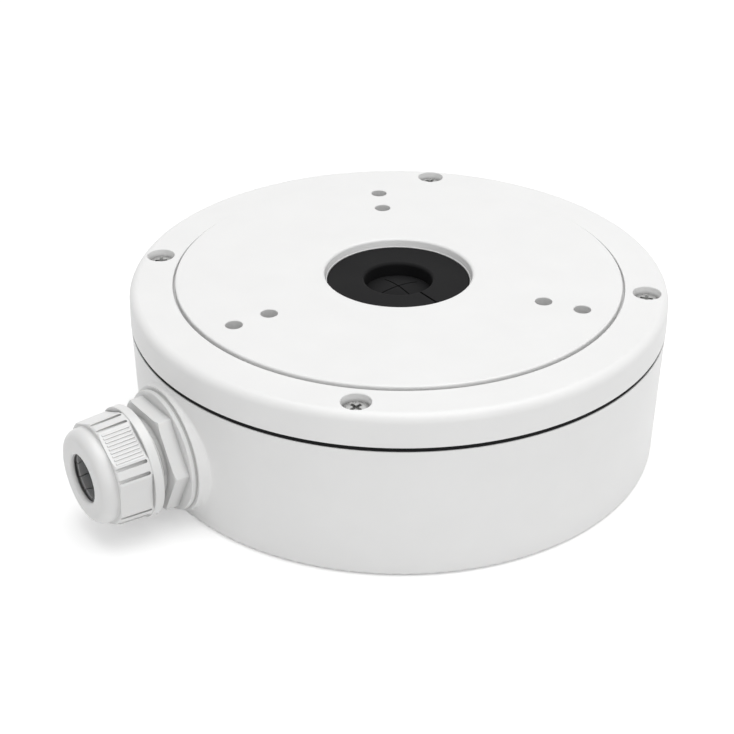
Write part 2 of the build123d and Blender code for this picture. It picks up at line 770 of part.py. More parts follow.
os.makedirs("parts", exist_ok=True)
finished = [box_body, cover, cover_gasket, cable_grommet, rear_plug, *cover_screws, *screw_seals]
finished += [earth_washer, earth_screw, gland_body, gland_washer, gland_lock_nut]
finished += [gland_cap_nut, gland_claw, gland_seal]
for piece in finished:
    export_step(piece.part, f"parts/{piece.part.label}.step")
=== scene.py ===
"""Looks of the round camera junction box, set in a plain studio.

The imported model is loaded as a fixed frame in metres: the box lies on its back, +Z points out through
the cover and the cable gland leaves along -X. The pieces that show are modelled here in millimetres,
in the place of their plain solids, and the pieces that hardly show keep theirs and get a finish.
"""

import json
import logging
from dataclasses import dataclass, field
from enum import Enum
from functools import cache
from itertools import pairwise, product
from math import ceil, cos, pi, radians, sqrt, tan
from typing import Callable, Sequence

import bmesh
import bpy
from mathutils import Matrix, Vector


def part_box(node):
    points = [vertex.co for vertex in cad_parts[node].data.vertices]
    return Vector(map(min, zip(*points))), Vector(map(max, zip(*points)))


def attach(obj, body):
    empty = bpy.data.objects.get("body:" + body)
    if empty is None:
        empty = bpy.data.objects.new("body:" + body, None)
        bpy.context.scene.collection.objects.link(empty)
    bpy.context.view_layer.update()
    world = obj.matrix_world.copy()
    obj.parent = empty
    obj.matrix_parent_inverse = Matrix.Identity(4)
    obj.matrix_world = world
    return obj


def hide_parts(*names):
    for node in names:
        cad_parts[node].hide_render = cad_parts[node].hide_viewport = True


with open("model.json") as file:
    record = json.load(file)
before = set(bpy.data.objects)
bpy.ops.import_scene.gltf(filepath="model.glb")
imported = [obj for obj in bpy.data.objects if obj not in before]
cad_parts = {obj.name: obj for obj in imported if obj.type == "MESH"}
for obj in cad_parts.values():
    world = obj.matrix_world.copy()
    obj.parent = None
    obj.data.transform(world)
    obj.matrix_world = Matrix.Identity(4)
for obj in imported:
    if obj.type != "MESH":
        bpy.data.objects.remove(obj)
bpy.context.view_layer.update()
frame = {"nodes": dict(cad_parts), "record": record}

LOG = logging.getLogger("junction_box")
MM = 0.001
# Mesh attribute that marks the walls of the camera holes for painted shade.
HOLE_SHADE = "drilled"
# In millimetres: what counts as the same place, what is merged, and how far a cutter stands out.
NEAR = 1e-3
WELD = 1e-4
CLEAR = 1.0
ROUNDING_STEP = radians(10)
SMOOTH_BELOW = radians(18)
UPRIGHT = Matrix.Identity(4)
WHITE = (1.0, 1.0, 1.0, 1.0)

Piece = bpy.types.Object
Socket = bpy.types.NodeSocket
Outputs = bpy.types.NodeOutputs
Picker = Callable[..., bool]
Point = tuple[float, float, float]
Colour = tuple[float, float, float]


class Join(Enum):
    """Ways of combining a piece with a second closed shape."""

    ADD = "UNION"
    CUT = "DIFFERENCE"
    TRIM = "INTERSECT"


class Slot(Enum):
    """Material slots of the record that the finishes belong to."""

    CASTING = "painted_casting"
    RUBBER = "black_rubber"
    STEEL = "screw_steel"
    NYLON = "gland_nylon"
    CLAW = "claw_nylon"
    SEAL = "gland_rubber"
    WASHER = "washer_rubber"


class Body(Enum):
    """Bodies of the frame that pieces ride on."""

    ROOT = "root"
    CLAW = "claw"
    NUT = "cap_nut"


@dataclass(frozen=True)
class Corner:
    """One corner of an outline that is turned about an axis, in millimetres.

    Attributes:
        r: Distance from the axis.
        z: Distance along the axis.
        soft: Length along each side that the rounding of the corner takes, 0 for a crisp corner.
    """

    r: float
    z: float
    soft: float = 0.0

    @property
    def spot(self) -> Vector:
        """Give its place in the plane of the outline."""
        return Vector((self.r, 0, self.z))


def box_mm(node: str) -> tuple[Vector, Vector]:
    """Give the lowest and the highest corner of a node of the frame, in millimetres."""
    low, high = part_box(node)
    return low / MM, high / MM


def mount_dims(name: str) -> dict[str, float]:
    """Give the dimensions of one of the record's mounts by their names, in millimetres."""
    return next(m["dims"] for m in frame["record"]["mounts"] if m["name"] == name)


def deselect() -> None:
    """Leave edit mode and deselect every object."""
    if bpy.context.mode != "OBJECT":
        bpy.ops.object.mode_set(mode="OBJECT")
    bpy.ops.object.select_all(action="DESELECT")


def take_up(piece: Piece) -> None:
    """Make a piece the only selected object and the active one.

    Args:
        piece: The piece.
    """
    deselect()
    piece.select_set(True)
    bpy.context.view_layer.objects.active = piece


def primitive(name: str, add: Callable[..., set], **settings: object) -> Piece:
    """Add a primitive as the start of a piece, its place kept in its mesh.

    Args:
        name: Name of the piece.
        add: The operator that adds the primitive.
        **settings: Settings of the operator.

    Returns:
        The piece.
    """
    deselect()
    add(**settings)
    piece = bpy.context.active_object
    piece.name = piece.data.name = name
    bpy.ops.object.transform_apply(location=True, rotation=True, scale=True)
    return piece


def modified(piece: Piece, kind: str, **settings: object) -> None:
    """Give a piece a modifier and apply it.

    Args:
        piece: The piece.
        kind: Type of the modifier.
        **settings: Its settings.
    """
    take_up(piece)
    bpy.ops.object.modifier_add(type=kind)
    change = piece.modifiers[-1]
    for name, value in settings.items():
        setattr(change, name, value)
    bpy.ops.object.modifier_apply(modifier=change.name)


def pick(piece: Piece, wanted: Picker, edges: bool = False) -> None:
    """Select the points or the edges of a piece in edit mode by their place.

    Args:
        piece: The piece, which is in edit mode.
        wanted: Says of a point's place, or of the places of an edge's ends, whether it is picked.
        edges: Whether edges are picked.
    """
    bpy.ops.mesh.select_mode(type="EDGE" if edges else "VERT")
    mesh = bmesh.from_edit_mesh(piece.data)
    for item in mesh.edges if edges else mesh.verts:
        places = [end.co for end in item.verts] if edges else [item.co]
        item.select = wanted(*places)
    mesh.select_flush_mode()
    bmesh.update_edit_mesh(piece.data)


def drawn(name: str, corners: Sequence[Corner]) -> Piece:
    """Draw a line from corner to corner by extrusion, and stay in edit mode.

    Args:
        name: Name of the piece.
        corners: The corners in order.

    Returns:
        The piece.
    """
    piece = primitive(name, bpy.ops.mesh.primitive_plane_add, size=1)
    bpy.ops.object.mode_set(mode="EDIT")
    bpy.ops.mesh.merge(type="CENTER")
    bpy.ops.transform.translate(value=(corners[0].r, 0, corners[0].z))
    for here, there in pairwise(corners):
        move = (there.r - here.r, 0, there.z - here.z)
        bpy.ops.mesh.extrude_vertices_move(TRANSFORM_OT_translate={"value": move})
    return piece


def turned(name: str, outline: Sequence[Corner], steps: int, closed: bool = True) -> Piece:
    """Turn an outline about the Z axis.

    Args:
        name: Name of the piece.
        outline: Corners of the outline in order, beside the axis or starting and ending on it.
        steps: Number of steps round the axis.
        closed: Whether the last corner is joined to the first.

    Returns:
        The turned piece.
    """
    piece = drawn(name, outline)
    if closed:
        ends = [outline[0].spot, outline[-1].spot]
        pick(piece, lambda p: any((p - end).length < NEAR for end in ends))
        bpy.ops.mesh.edge_face_add()
    for before, corner, after in zip((outline[-1], *outline), outline, (*outline[1:], outline[0])):
        if corner.soft:
            place = corner.spot
            bend = pi - (before.spot - place).angle(after.spot - place)
            pick(piece, lambda p: (p - place).length < NEAR)
            segments = ceil(bend / ROUNDING_STEP)
            bpy.ops.mesh.bevel(offset=corner.soft, segments=segments, affect="VERTICES")
    bpy.ops.mesh.select_all(action="SELECT")
    bpy.ops.mesh.spin(steps=steps, angle=2 * pi, center=(0, 0, 0), axis=(0, 0, 1))
    bpy.ops.mesh.select_all(action="SELECT")
    bpy.ops.mesh.remove_doubles(threshold=WELD)
    bpy.ops.mesh.normals_make_consistent(inside=False)
    bpy.ops.object.mode_set(mode="OBJECT")
    return piece


def rod(name: str, radius: float, low: float, high: float, steps: int, soft: float = 0.0) -> Piece:
    """Turn a plain rod about the Z axis between two heights, its lower edge rounded."""
    outline = [Corner(0, low), Corner(radius, low, soft), Corner(radius, high), Corner(0, high)]
    return turned(name, outline, steps, closed=False)


def block(name: str, low: Sequence[float], high: Sequence[float]) -> Piece:
    """Make a plain block that is shaped further.

    Args:
        name: Name of the piece.
        low: Its lowest corner.
        high: Its highest corner.

    Returns:
        The block.
    """
    middle = [(a + b) / 2 for a, b in zip(low, high)]
    size = [b - a for a, b in zip(low, high)]
    return primitive(name, bpy.ops.mesh.primitive_cube_add, size=1, location=middle, scale=size)


def shifted(piece: Piece, wanted: Picker, move: Sequence[float]) -> None:
    """Move some of a piece's points.

    Args:
        piece: The piece.
        wanted: Says of a place whether a point there is moved.
        move: The distance to move it.
    """
    take_up(piece)
    bpy.ops.object.mode_set(mode="EDIT")
    pick(piece, wanted)
    bpy.ops.transform.translate(value=move)
    bpy.ops.object.mode_set(mode="OBJECT")


def softened(piece: Piece, wanted: Picker, width: float, segments: int) -> None:
    """Round some of a piece's edges.

    Args:
        piece: The piece.
        wanted: Says of an edge's two ends whether the edge is rounded.
        width: Width of the rounding.
        segments: Number of strips in it.
    """
    take_up(piece)
    bpy.ops.object.mode_set(mode="EDIT")
    pick(piece, wanted, edges=True)
    bpy.ops.mesh.bevel(offset=width, segments=segments, affect="EDGES")
    bpy.ops.object.mode_set(mode="OBJECT")


def copied(
    piece: Piece, turns: Sequence[float] = (0.0,), moves: Sequence[Sequence[float]] = ((0, 0, 0),)
) -> list[Piece]:
    """Copy a piece, each copy with its own mesh.

    Args:
        piece: The piece, which is used up.
        turns: Angles of the copies about the Z axis, in degrees.
        moves: Distances of the copies from the axis, which aren't turned.

    Returns:
        The copies, one for every turn with every move.
    """
    copies = []
    for turn, move in product(turns, moves):
        take_up(piece)
        bpy.ops.object.duplicate(linked=False)
        copy = bpy.context.active_object
        copy.rotation_euler.z = radians(turn)
        copy.location = move
        bpy.ops.object.transform_apply(location=True, rotation=True, scale=True)
        copies.append(copy)
    bpy.data.objects.remove(piece)
    return copies


def moved(piece: Piece, place: Matrix) -> None:
    """Set a piece in another place, kept in its mesh.

    Args:
        piece: The piece.
        place: Where it goes.
    """
    take_up(piece)
    piece.matrix_world = place
    bpy.ops.object.transform_apply(location=True, rotation=True, scale=True)


def gathered(name: str, pieces: Sequence[Piece]) -> Piece:
    """Make one object of several shapes that don't touch.

    Args:
        name: Name of the object.
        pieces: The shapes, which are used up.

    Returns:
        The object.
    """
    deselect()
    for piece in pieces:
        piece.select_set(True)
    bpy.context.view_layer.objects.active = pieces[0]
    bpy.ops.object.join()
    whole = bpy.context.active_object
    whole.name = whole.data.name = name
    return whole


def combined(piece: Piece, tool: Piece, how: Join) -> None:
    """Add a closed shape to a piece, cut it away or keep only what both share.

    Args:
        piece: The piece.
        tool: The other shape, which is used up.
        how: Which of the three.
    """
    modified(piece, "BOOLEAN", object=tool, operation=how.value, solver="EXACT")
    bpy.data.objects.remove(tool)


def finished(
    piece: Piece, nodes: Sequence[str], body: Body, finish: "Finish", place: Matrix = UPRIGHT
) -> None:
    """Set a modelled piece into the frame in place of its plain solid.

    Args:
        piece: The piece, modelled in millimetres.
        nodes: The nodes that it stands for.
        body: The body that it rides on.
        finish: Its finish.
        place: How it lies in the frame, its distances in metres.
    """
    moved(piece, place @ Matrix.Scale(MM, 4))
    bpy.ops.object.shade_smooth_by_angle(angle=SMOOTH_BELOW)
    modified(piece, "WEIGHTED_NORMAL", keep_sharp=True)
    piece.data.materials.clear()
    piece.data.materials.append(finish.material())
    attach(piece, body.value)
    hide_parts(*nodes)
    LOG.info("%s: %d faces", piece.name, len(piece.data.polygons))


def dressed(node: str, finish: "Finish") -> None:
    """Give a plain solid of the frame its finish.

    Args:
        node: Name of the node.
        finish: Its finish.
    """
    solid = frame["nodes"][node]
    for slot in solid.material_slots:
        slot.material = finish.material()
    LOG.info("%s: dressed as %s", node, finish.name)


@dataclass(frozen=True)
class Wiring:
    """A node tree that is being filled.

    Attributes:
        tree: The tree.
    """

    tree: bpy.types.NodeTree

    @classmethod
    def of(cls, owner: bpy.types.Material | bpy.types.World) -> "Wiring":
        """Start on the emptied tree of a material or a world.

        Args:
            owner: The material or the world.

        Returns:
            Its wiring.
        """
        owner.use_nodes = True
        owner.node_tree.nodes.clear()
        return cls(owner.node_tree)

    def add(self, kind: str, inputs: dict[str, object] | None = None, **settings: object) -> bpy.types.Node:
        """Add a node.

        Args:
            kind: Its type.
            inputs: Values or output sockets for its inputs, by the input's name or place.
            **settings: Its other settings.

        Returns:
            The node.
        """
        node = self.tree.nodes.new(kind)
        for name, value in settings.items():
            setattr(node, name, value)
        for name, value in (inputs or {}).items():
            if isinstance(value, Socket):
                self.tree.links.new(value, node.inputs[name])
            else:
                node.inputs[name].default_value = value
        return node

    def effect(self, group: bpy.types.NodeTree, inputs: dict[str, object]) -> Outputs:
        """Add the node of an effect and give its outputs."""
        return self.add("ShaderNodeGroup", inputs, node_tree=group).outputs

    def math(self, operation: str, *values: object) -> Socket:
        """Work out a number from numbers or output sockets."""
        return self.add("ShaderNodeMath", dict(enumerate(values)), operation=operation).outputs[0]

    def mapped(self, value: Socket, span: tuple, to: tuple = (0.0, 1.0)) -> Socket:
        """Map a span of a number to another span."""
        inputs = {"Value": value, "From Min": span[0], "From Max": span[1], "To Min": to[0], "To Max": to[1]}
        return self.add("ShaderNodeMapRange", inputs).outputs["Result"]

    def shaded(self, tone: Socket, mask: Socket, share: float) -> Socket:
        """Multiply a tone by a share where a mask is 1."""
        return self.math("MULTIPLY", tone, self.mapped(mask, (0.0, 1.0), (1.0, share)))


class Effects:
    """Effects that several finishes share, each a node group that is built once.

    Attributes:
        PITS: Depth of the pits in a skin, as a share of its waves.
        CLOUD: Values of a noise that count as its lowest and its highest.
        ALIKE: How alike the true and the rounded normal are beside an edge and on one.
        OPENNESS: How open a place is outside a hollow and deep in one.
    """

    PITS = 0.35
    CLOUD = (0.3, 0.7)
    ALIKE = (0.98, 0.75)
    OPENNESS = (0.9, 0.3)

    @staticmethod
    def _start(name: str, inputs: Sequence[str], outputs: Sequence[str]) -> tuple[Wiring, Outputs]:
        """Start a node group.

        Args:
            name: Name of the group.
            inputs: Names of its inputs, all numbers but Place.
            outputs: Names of its outputs, all numbers.

        Returns:
            Its wiring and what its inputs bring, by name.
        """
        tree = bpy.data.node_groups.new(name, "ShaderNodeTree")
        for label in inputs:
            kind = "NodeSocketVector" if label == "Place" else "NodeSocketFloat"
            tree.interface.new_socket(label, in_out="INPUT", socket_type=kind)
        for label in outputs:
            tree.interface.new_socket(label, in_out="OUTPUT", socket_type="NodeSocketFloat")
        wiring = Wiring(tree)
        return wiring, wiring.add("NodeGroupInput").outputs

    @staticmethod
    @cache
    def grain() -> bpy.types.NodeTree:
        """Fine skin of a moulded or painted surface.

        Returns:
            A group with a Place and a Size in metres, and the Height of the skin from 0 to 1.
        """
        wiring, given = Effects._start("fine_grain", ["Place", "Size"], ["Height"])
        inputs = {"Vector": given["Place"], "Scale": wiring.math("DIVIDE", 1.0, given["Size"])}
        peel = wiring.add("ShaderNodeTexNoise", {**inputs, "Detail": 2.0, "Roughness": 0.55})
        pits = wiring.add("ShaderNodeTexVoronoi", inputs).outputs["Distance"]
        height = wiring.math("MULTIPLY_ADD", pits, Effects.PITS, peel.outputs["Fac"])
        wiring.add("NodeGroupOutput", {"Height": height})
        return wiring.tree

    @staticmethod
    @cache
    def drift() -> bpy.types.NodeTree:
        """Slow drift of tone and gloss over a surface.

        Returns:
            A group with a Place, a Size in metres, a Tone and a Gloss shift, and with the Value that the
            colour is multiplied by and the amount that is added to the roughness.
        """
        names = ["Place", "Size", "Tone", "Gloss"]
        wiring, given = Effects._start("slow_drift", names, ["Value", "Roughness"])
        inputs = {"Vector": given["Place"], "Scale": wiring.math("DIVIDE", 1.0, given["Size"]), "Detail": 4.0}
        cloud = wiring.add("ShaderNodeTexNoise", inputs).outputs["Fac"]
        centred = wiring.mapped(cloud, Effects.CLOUD, (-1.0, 1.0))
        value = wiring.math("MULTIPLY_ADD", centred, given["Tone"], 1.0)
        rough = wiring.math("MULTIPLY", centred, given["Gloss"])
        wiring.add("NodeGroupOutput", {"Value": value, "Roughness": rough})
        return wiring.tree

    @staticmethod
    @cache
    def edges() -> bpy.types.NodeTree:
        """Mask of the outer and inner edges of a shape, however its faces are divided.

        Returns:
            A group with a Width in metres, and with the Mask of the edges from 0 to 1.
        """
        wiring, given = Effects._start("edge_mask", ["Width"], ["Mask"])
        rounded = wiring.add("ShaderNodeBevel", {"Radius": given["Width"]}, samples=4)
        true = wiring.add("ShaderNodeNewGeometry")
        inputs = {0: rounded.outputs["Normal"], 1: true.outputs["Normal"]}
        same = wiring.add("ShaderNodeVectorMath", inputs, operation="DOT_PRODUCT").outputs["Value"]
        wiring.add("NodeGroupOutput", {"Mask": wiring.mapped(same, Effects.ALIKE)})
        return wiring.tree

    @staticmethod
    @cache
    def crevice_shade() -> bpy.types.NodeTree:
        """Mask of painted shade in the narrow hollows in and between shapes, taken from ambient occlusion.

        Returns:
            A group with the Reach in metres that a hollow's sides lie within, and with the Mask of the
            hollows from 0 to 1.
        """
        wiring, given = Effects._start("crevice_mask", ["Reach"], ["Mask"])
        openness = wiring.add("ShaderNodeAmbientOcclusion", {"Distance": given["Reach"]}, samples=8)
        wiring.add("NodeGroupOutput", {"Mask": wiring.mapped(openness.outputs["AO"], Effects.OPENNESS)})
        return wiring.tree


@dataclass(frozen=True)
class Finish:
    """One finish, with the sizes of its pattern in millimetres.

    Attributes:
        name: Name of the material.
        slot: The record's slot that it belongs to; not used.
        colour: Its colour, linear.
        roughness: Its mean roughness.
        grain_size: Width of the skin's grain.
        grain_depth: Depth of the skin's grain.
        drift_size: Width of the slow drift of tone and gloss.
        tone: How far the tone drifts, as a share.
        gloss: How far the roughness drifts.
        edge_width: Width of the edges that differ in tone.
        edge_tone: Tone of the edges, as a share of the colour.
        shade_reach: Width of the hollows that get painted shade.
        shade_tone: Tone of that painted shade deep in them, as a share of the colour.
    """

    name: str
    slot: Slot
    colour: Colour
    roughness: float
    grain_size: float
    grain_depth: float
    drift_size: float = 12.0
    tone: float = 0.01
    gloss: float = 0.03
    edge_width: float = 0.5
    edge_tone: float = 0.97
    shade_reach: float = 1.2
    shade_tone: float = 0.8

    @cache
    def material(self) -> bpy.types.Material:
        """Give the finish's material, built the first time.

        Returns:
            The material.
        """
        material = bpy.data.materials.new(self.name)
        wiring = Wiring.of(material)
        shader = wiring.add("ShaderNodeBsdfPrincipled", {**self._look(wiring), **self._shine()})
        wiring.add("ShaderNodeOutputMaterial", {"Surface": shader.outputs["BSDF"]})
        material.diffuse_color = (*self.colour, 1.0)
        return material

    def _look(self, wiring: Wiring) -> dict[str, Socket]:
        """Wire the colour with its painted shade, the gloss and the skin.

        Args:
            wiring: The material's wiring.

        Returns:
            What feeds the shader's inputs, by their names.
        """
        place = wiring.add("ShaderNodeTexCoord").outputs["Object"]
        inputs = {"Place": place, "Size": self.drift_size * MM, "Tone": self.tone, "Gloss": self.gloss}
        drift = wiring.effect(Effects.drift(), inputs)
        edges = wiring.effect(Effects.edges(), {"Width": self.edge_width * MM})
        # Painted shade in narrow hollows and gaps, from ambient occlusion.
        crevice_shade = wiring.effect(Effects.crevice_shade(), {"Reach": self.shade_reach * MM})
        grain = wiring.effect(Effects.grain(), {"Place": place, "Size": self.grain_size * MM})
        tone = wiring.shaded(drift["Value"], edges["Mask"], self.edge_tone)
        # Painted shade: the colour is darker in hollows and, on paint, in the camera holes.
        tone = self._hole_shaded(wiring, wiring.shaded(tone, crevice_shade["Mask"], self.shade_tone))
        colour = wiring.add("ShaderNodeHueSaturation", {"Color": (*self.colour, 1.0), "Value": tone})
        skin = {"Height": grain["Height"], "Distance": self.grain_depth * MM, "Strength": 1.0}
        return {
            "Base Color": colour.outputs["Color"],
            "Roughness": wiring.math("ADD", drift["Roughness"], self.roughness),
            "Normal": wiring.add("ShaderNodeBump", skin).outputs["Normal"],
        }

    def _hole_shaded(self, wiring: Wiring, tone: Socket) -> Socket:
        """Give the tone unchanged, since most finishes have no painted shade in holes."""
        return tone

    def _shine(self) -> dict[str, object]:
        """Give the constants of the shader's own sockets."""
        return {"IOR": 1.5}


@dataclass(frozen=True)
class Paint(Finish):
    """A paint with painted shade on the walls of the camera holes, which also stands for the bare metal
    there.

    Attributes:
        hole_shade_tone: Tone of the painted shade in those holes, as a share of the colour.
    """

    hole_shade_tone: float = 0.85

    def _hole_shaded(self, wiring: Wiring, tone: Socket) -> Socket:
        """Paint shade into the camera holes."""
        drilled = wiring.add("ShaderNodeAttribute", attribute_name=HOLE_SHADE).outputs["Fac"]
        return wiring.shaded(tone, drilled, self.hole_shade_tone)


@dataclass(frozen=True)
class Metal(Finish):
    """A bare metal."""

    def _shine(self) -> dict[str, object]:
        """Make the shader a metal."""
        return {"Metallic": 1.0}


@dataclass(frozen=True)
class Rubber(Finish):
    """A matt rubber, which mirrors little.

    Attributes:
        mirror: Strength of its mirroring, where 0.5 is that of a common plastic.
    """

    mirror: float = 0.06

    def _shine(self) -> dict[str, object]:
        """Weaken the shader's mirroring."""
        return {**super()._shine(), "Specular IOR Level": self.mirror}


@dataclass(frozen=True)
class Nylon(Finish):
    """A moulded nylon, which lets a little light in.

    Attributes:
        glow_depth: How deep the light goes in, in millimetres.
        glow: Share of the light that goes in.
        glow_reach: How deep red, green and blue go beside that depth.
    """

    glow_depth: float = 0.6
    glow: float = 0.12
    glow_reach: Colour = (1.0, 0.9, 0.8)

    def _shine(self) -> dict[str, object]:
        """Let light into the shader."""
        return {
            "IOR": 1.53,
            "Subsurface Weight": self.glow,
            "Subsurface Radius": self.glow_reach,
            "Subsurface Scale": self.glow_depth * MM,
        }


@dataclass(frozen=True)
class Finishes:
    """The finishes of the box."""

    casting: Paint = Paint("satin_white_paint", Slot.CASTING, (0.9, 0.9, 0.895), 0.4, 0.9, 0.012)
    rubber: Rubber = Rubber(
        "black_rubber_skin", Slot.RUBBER, (0.012, 0.012, 0.0125), 0.6, 0.35, 0.01,
        tone=0.12, gloss=0.06, edge_tone=1.5, shade_tone=1.0,
    )
    steel: Metal = Metal(
        "stainless_screw", Slot.STEEL, (0.55, 0.55, 0.545), 0.3, 0.25, 0.004,
        drift_size=2.0, tone=0.08, gloss=0.08, shade_tone=0.95,
    )
    nylon: Nylon = Nylon(
        "white_gland_nylon", Slot.NYLON, (0.81, 0.81, 0.805), 0.34, 0.5, 0.006,
        # Wide, deep painted shade in the nylon's hollows and gaps.
        drift_size=9.0, shade_reach=2.4, shade_tone=0.62,
    )
    claw: Nylon = Nylon("grey_claw_nylon", Slot.CLAW, (0.7, 0.7, 0.7), 0.42, 0.4, 0.006, tone=0.03)
    seal: Rubber = Rubber(
        "grey_seal_rubber", Slot.SEAL, (0.1, 0.1, 0.105), 0.55, 0.35, 0.01,
        tone=0.08, gloss=0.05, edge_tone=1.2,
    )
    washer: Rubber = Rubber("pale_washer_rubber", Slot.WASHER, (0.6, 0.6, 0.59), 0.6, 0.35, 0.008, tone=0.04)


@dataclass
class Cover:
    """The cast cover and its gasket. Sizes in millimetres.

    Attributes:
        finishes: The finishes of the box.
    """

    finishes: Finishes
    steps: int = 288
    rim_step: float = 0.8
    draft_angle: float = 1.8
    edge_soft: float = 2.6
    groove_inset: float = 13.1
    groove_width: float = 0.7
    groove_depth: float = 1.6
    groove_soft: float = 0.5
    mouth_radius: float = 21.8
    mouth_slope: float = 0.65
    mouth_soft: float = 0.7
    ledge_soft: float = 0.25
    web_reach: float = 2.9
    web_rise: float = 1.0
    web_thickness: float = 2.2
    grommet_gap: float = 0.1
    hub_wall: float = 2.7
    plate_thickness: float = 3.0
    skirt_wall: float = 3.6
    inside_soft: float = 0.8
    counterbore_radius: float = 3.95
    counterbore_soft: float = 0.3
    counterbore_splay: float = 0.08
    splay_depth: float = 1.6
    boss_radius: float = 5.6
    boss_overlap: float = 0.5
    screw_hole_radius: float = 2.3
    hole_soft: float = 0.25
    hole_depth: float = 7.0
    hole_steps: int = 48
    shank_steps: int = 32
    camera_first_angle: float = 60.0
    camera_boss_radius: float = 4.6
    camera_boss_floor: float = 1.5
    flare: float = 1.2
    flare_rise: float = 0.25
    gasket_width: float = 3.0
    low: Vector = field(init=False)
    high: Vector = field(init=False)

    def __post_init__(self) -> None:
        """Read the cover's place from the frame."""
        self.low, self.high = box_mm("cover")
        grommet_low, grommet_high = box_mm("cable_grommet")
        self.rim_z = self.high.z - self.rim_step
        self.plate_z = self.rim_z - self.plate_thickness
        self.groove_radius = self.high.x - self.groove_inset
        self.web_bottom = grommet_low.z + self.web_rise
        self.web_top = self.web_bottom + self.web_thickness
        self.ledge_z = grommet_high.z
        self.grommet_radius = grommet_high.x
        self.seats = [self._seat(number) for number in range(1, 5)]
        self.circles = [mount_dims(f"camera_holes_{place}") for place in ("inner", "outer")]
        count = self.circles[0]["count"]
        self.turns = [self.camera_first_angle + pair * 360 / count for pair in range(count)]

    @staticmethod
    def _seat(number: int) -> Vector:
        """Give how far the axis of a cover screw lies from the cover's own."""
        low, high = box_mm(f"cover_screw_{number}")
        return Vector(((low.x + high.x) / 2, (low.y + high.y) / 2, 0))

    def build(self) -> None:
        """Model the cover and its gasket."""
        self._make_cover()
        self._make_gasket()

    def _plate(self) -> Piece:
        """Turn the cover plate with its skirt, groove, mouth and hub.

        Returns:
            The plate without holes.
        """
        radius = self.high.x
        drop = tan(radians(self.draft_angle))
        top_radius = radius - (self.rim_z - self.low.z) * drop
        skirt = radius - self.skirt_wall
        skirt_top = skirt - (self.plate_z - self.low.z) * drop
        web = self.grommet_radius - self.web_reach
        seat = self.grommet_radius + self.grommet_gap
        hub = self.mouth_radius + self.hub_wall
        inner = self.groove_radius - self.groove_width / 2
        outer = self.groove_radius + self.groove_width / 2
        floor = self.rim_z - self.groove_depth
        outline = [
            Corner(web, self.web_bottom, 0.2),
            Corner(web, self.web_top, 0.2),
            Corner(seat, self.web_top),
            Corner(seat, self.ledge_z, 0.1),
            Corner(self.mouth_radius - self.mouth_slope, self.ledge_z, self.ledge_soft),
            Corner(self.mouth_radius, self.high.z, self.mouth_soft),
            Corner(inner, self.high.z, self.groove_soft),
            Corner(inner, floor, 0.2),
            Corner(outer, floor, 0.2),
            Corner(outer, self.rim_z, self.groove_soft / 2),
            Corner(top_radius, self.rim_z, self.edge_soft),
            Corner(radius, self.low.z, 0.3),
            Corner(skirt, self.low.z, 0.3),
            Corner(skirt_top, self.plate_z, self.inside_soft),
            Corner(hub, self.plate_z, self.inside_soft),
            Corner(hub, self.web_bottom, 0.3),
        ]
        return turned("cover_casting", outline, self.steps)

    def _flared(
        self, name: str, radius: float, top: float, depth: float, soft: float, splay: float = 0.0
    ) -> Piece:
        """Turn the cutter of a round hole whose mouth is softly rounded.

        Args:
            name: Name of the cutter.
            radius: Radius of the hole.
            top: Height of the hole's mouth.
            depth: Depth of the hole.
            soft: Rounding of its mouth.
            splay: How much wider the hole is at its mouth.

        Returns:
            The cutter, on the axis.
        """
        mouth = radius + splay
        outline = [
            Corner(0, top - depth),
            Corner(radius, top - depth),
            Corner(radius, top - self.splay_depth, splay / 2),
            Corner(mouth, top, soft),
            Corner(mouth + self.flare, top + self.flare_rise),
            Corner(mouth + self.flare, top + self.flare),
            Corner(0, top + self.flare),
        ]
        return turned(name, outline, self.hole_steps, closed=False)

    def _mark_hole_shade(self, cover: Piece) -> None:
        """Mark the walls of the camera holes for the painted shade there.

        Args:
            cover: The cover, in millimetres.
        """
        marks = cover.data.attributes.new(HOLE_SHADE, "FLOAT", "POINT").data
        top = self.high.z - self.hole_soft + NEAR
        bottom = self.high.z - self.hole_depth - NEAR
        for dims in self.circles:
            reach = dims["hole_r_mm"] + self.hole_soft / 2
            for turn in self.turns:
                axis = Matrix.Rotation(radians(turn), 4, "Z") @ Vector((dims["pcd_mm"] / 2, 0, 0))
                for point, mark in zip(cover.data.vertices, marks):
                    if bottom < point.co.z < top and (point.co.xy - axis.xy).length < reach:
                        mark.value = 1.0

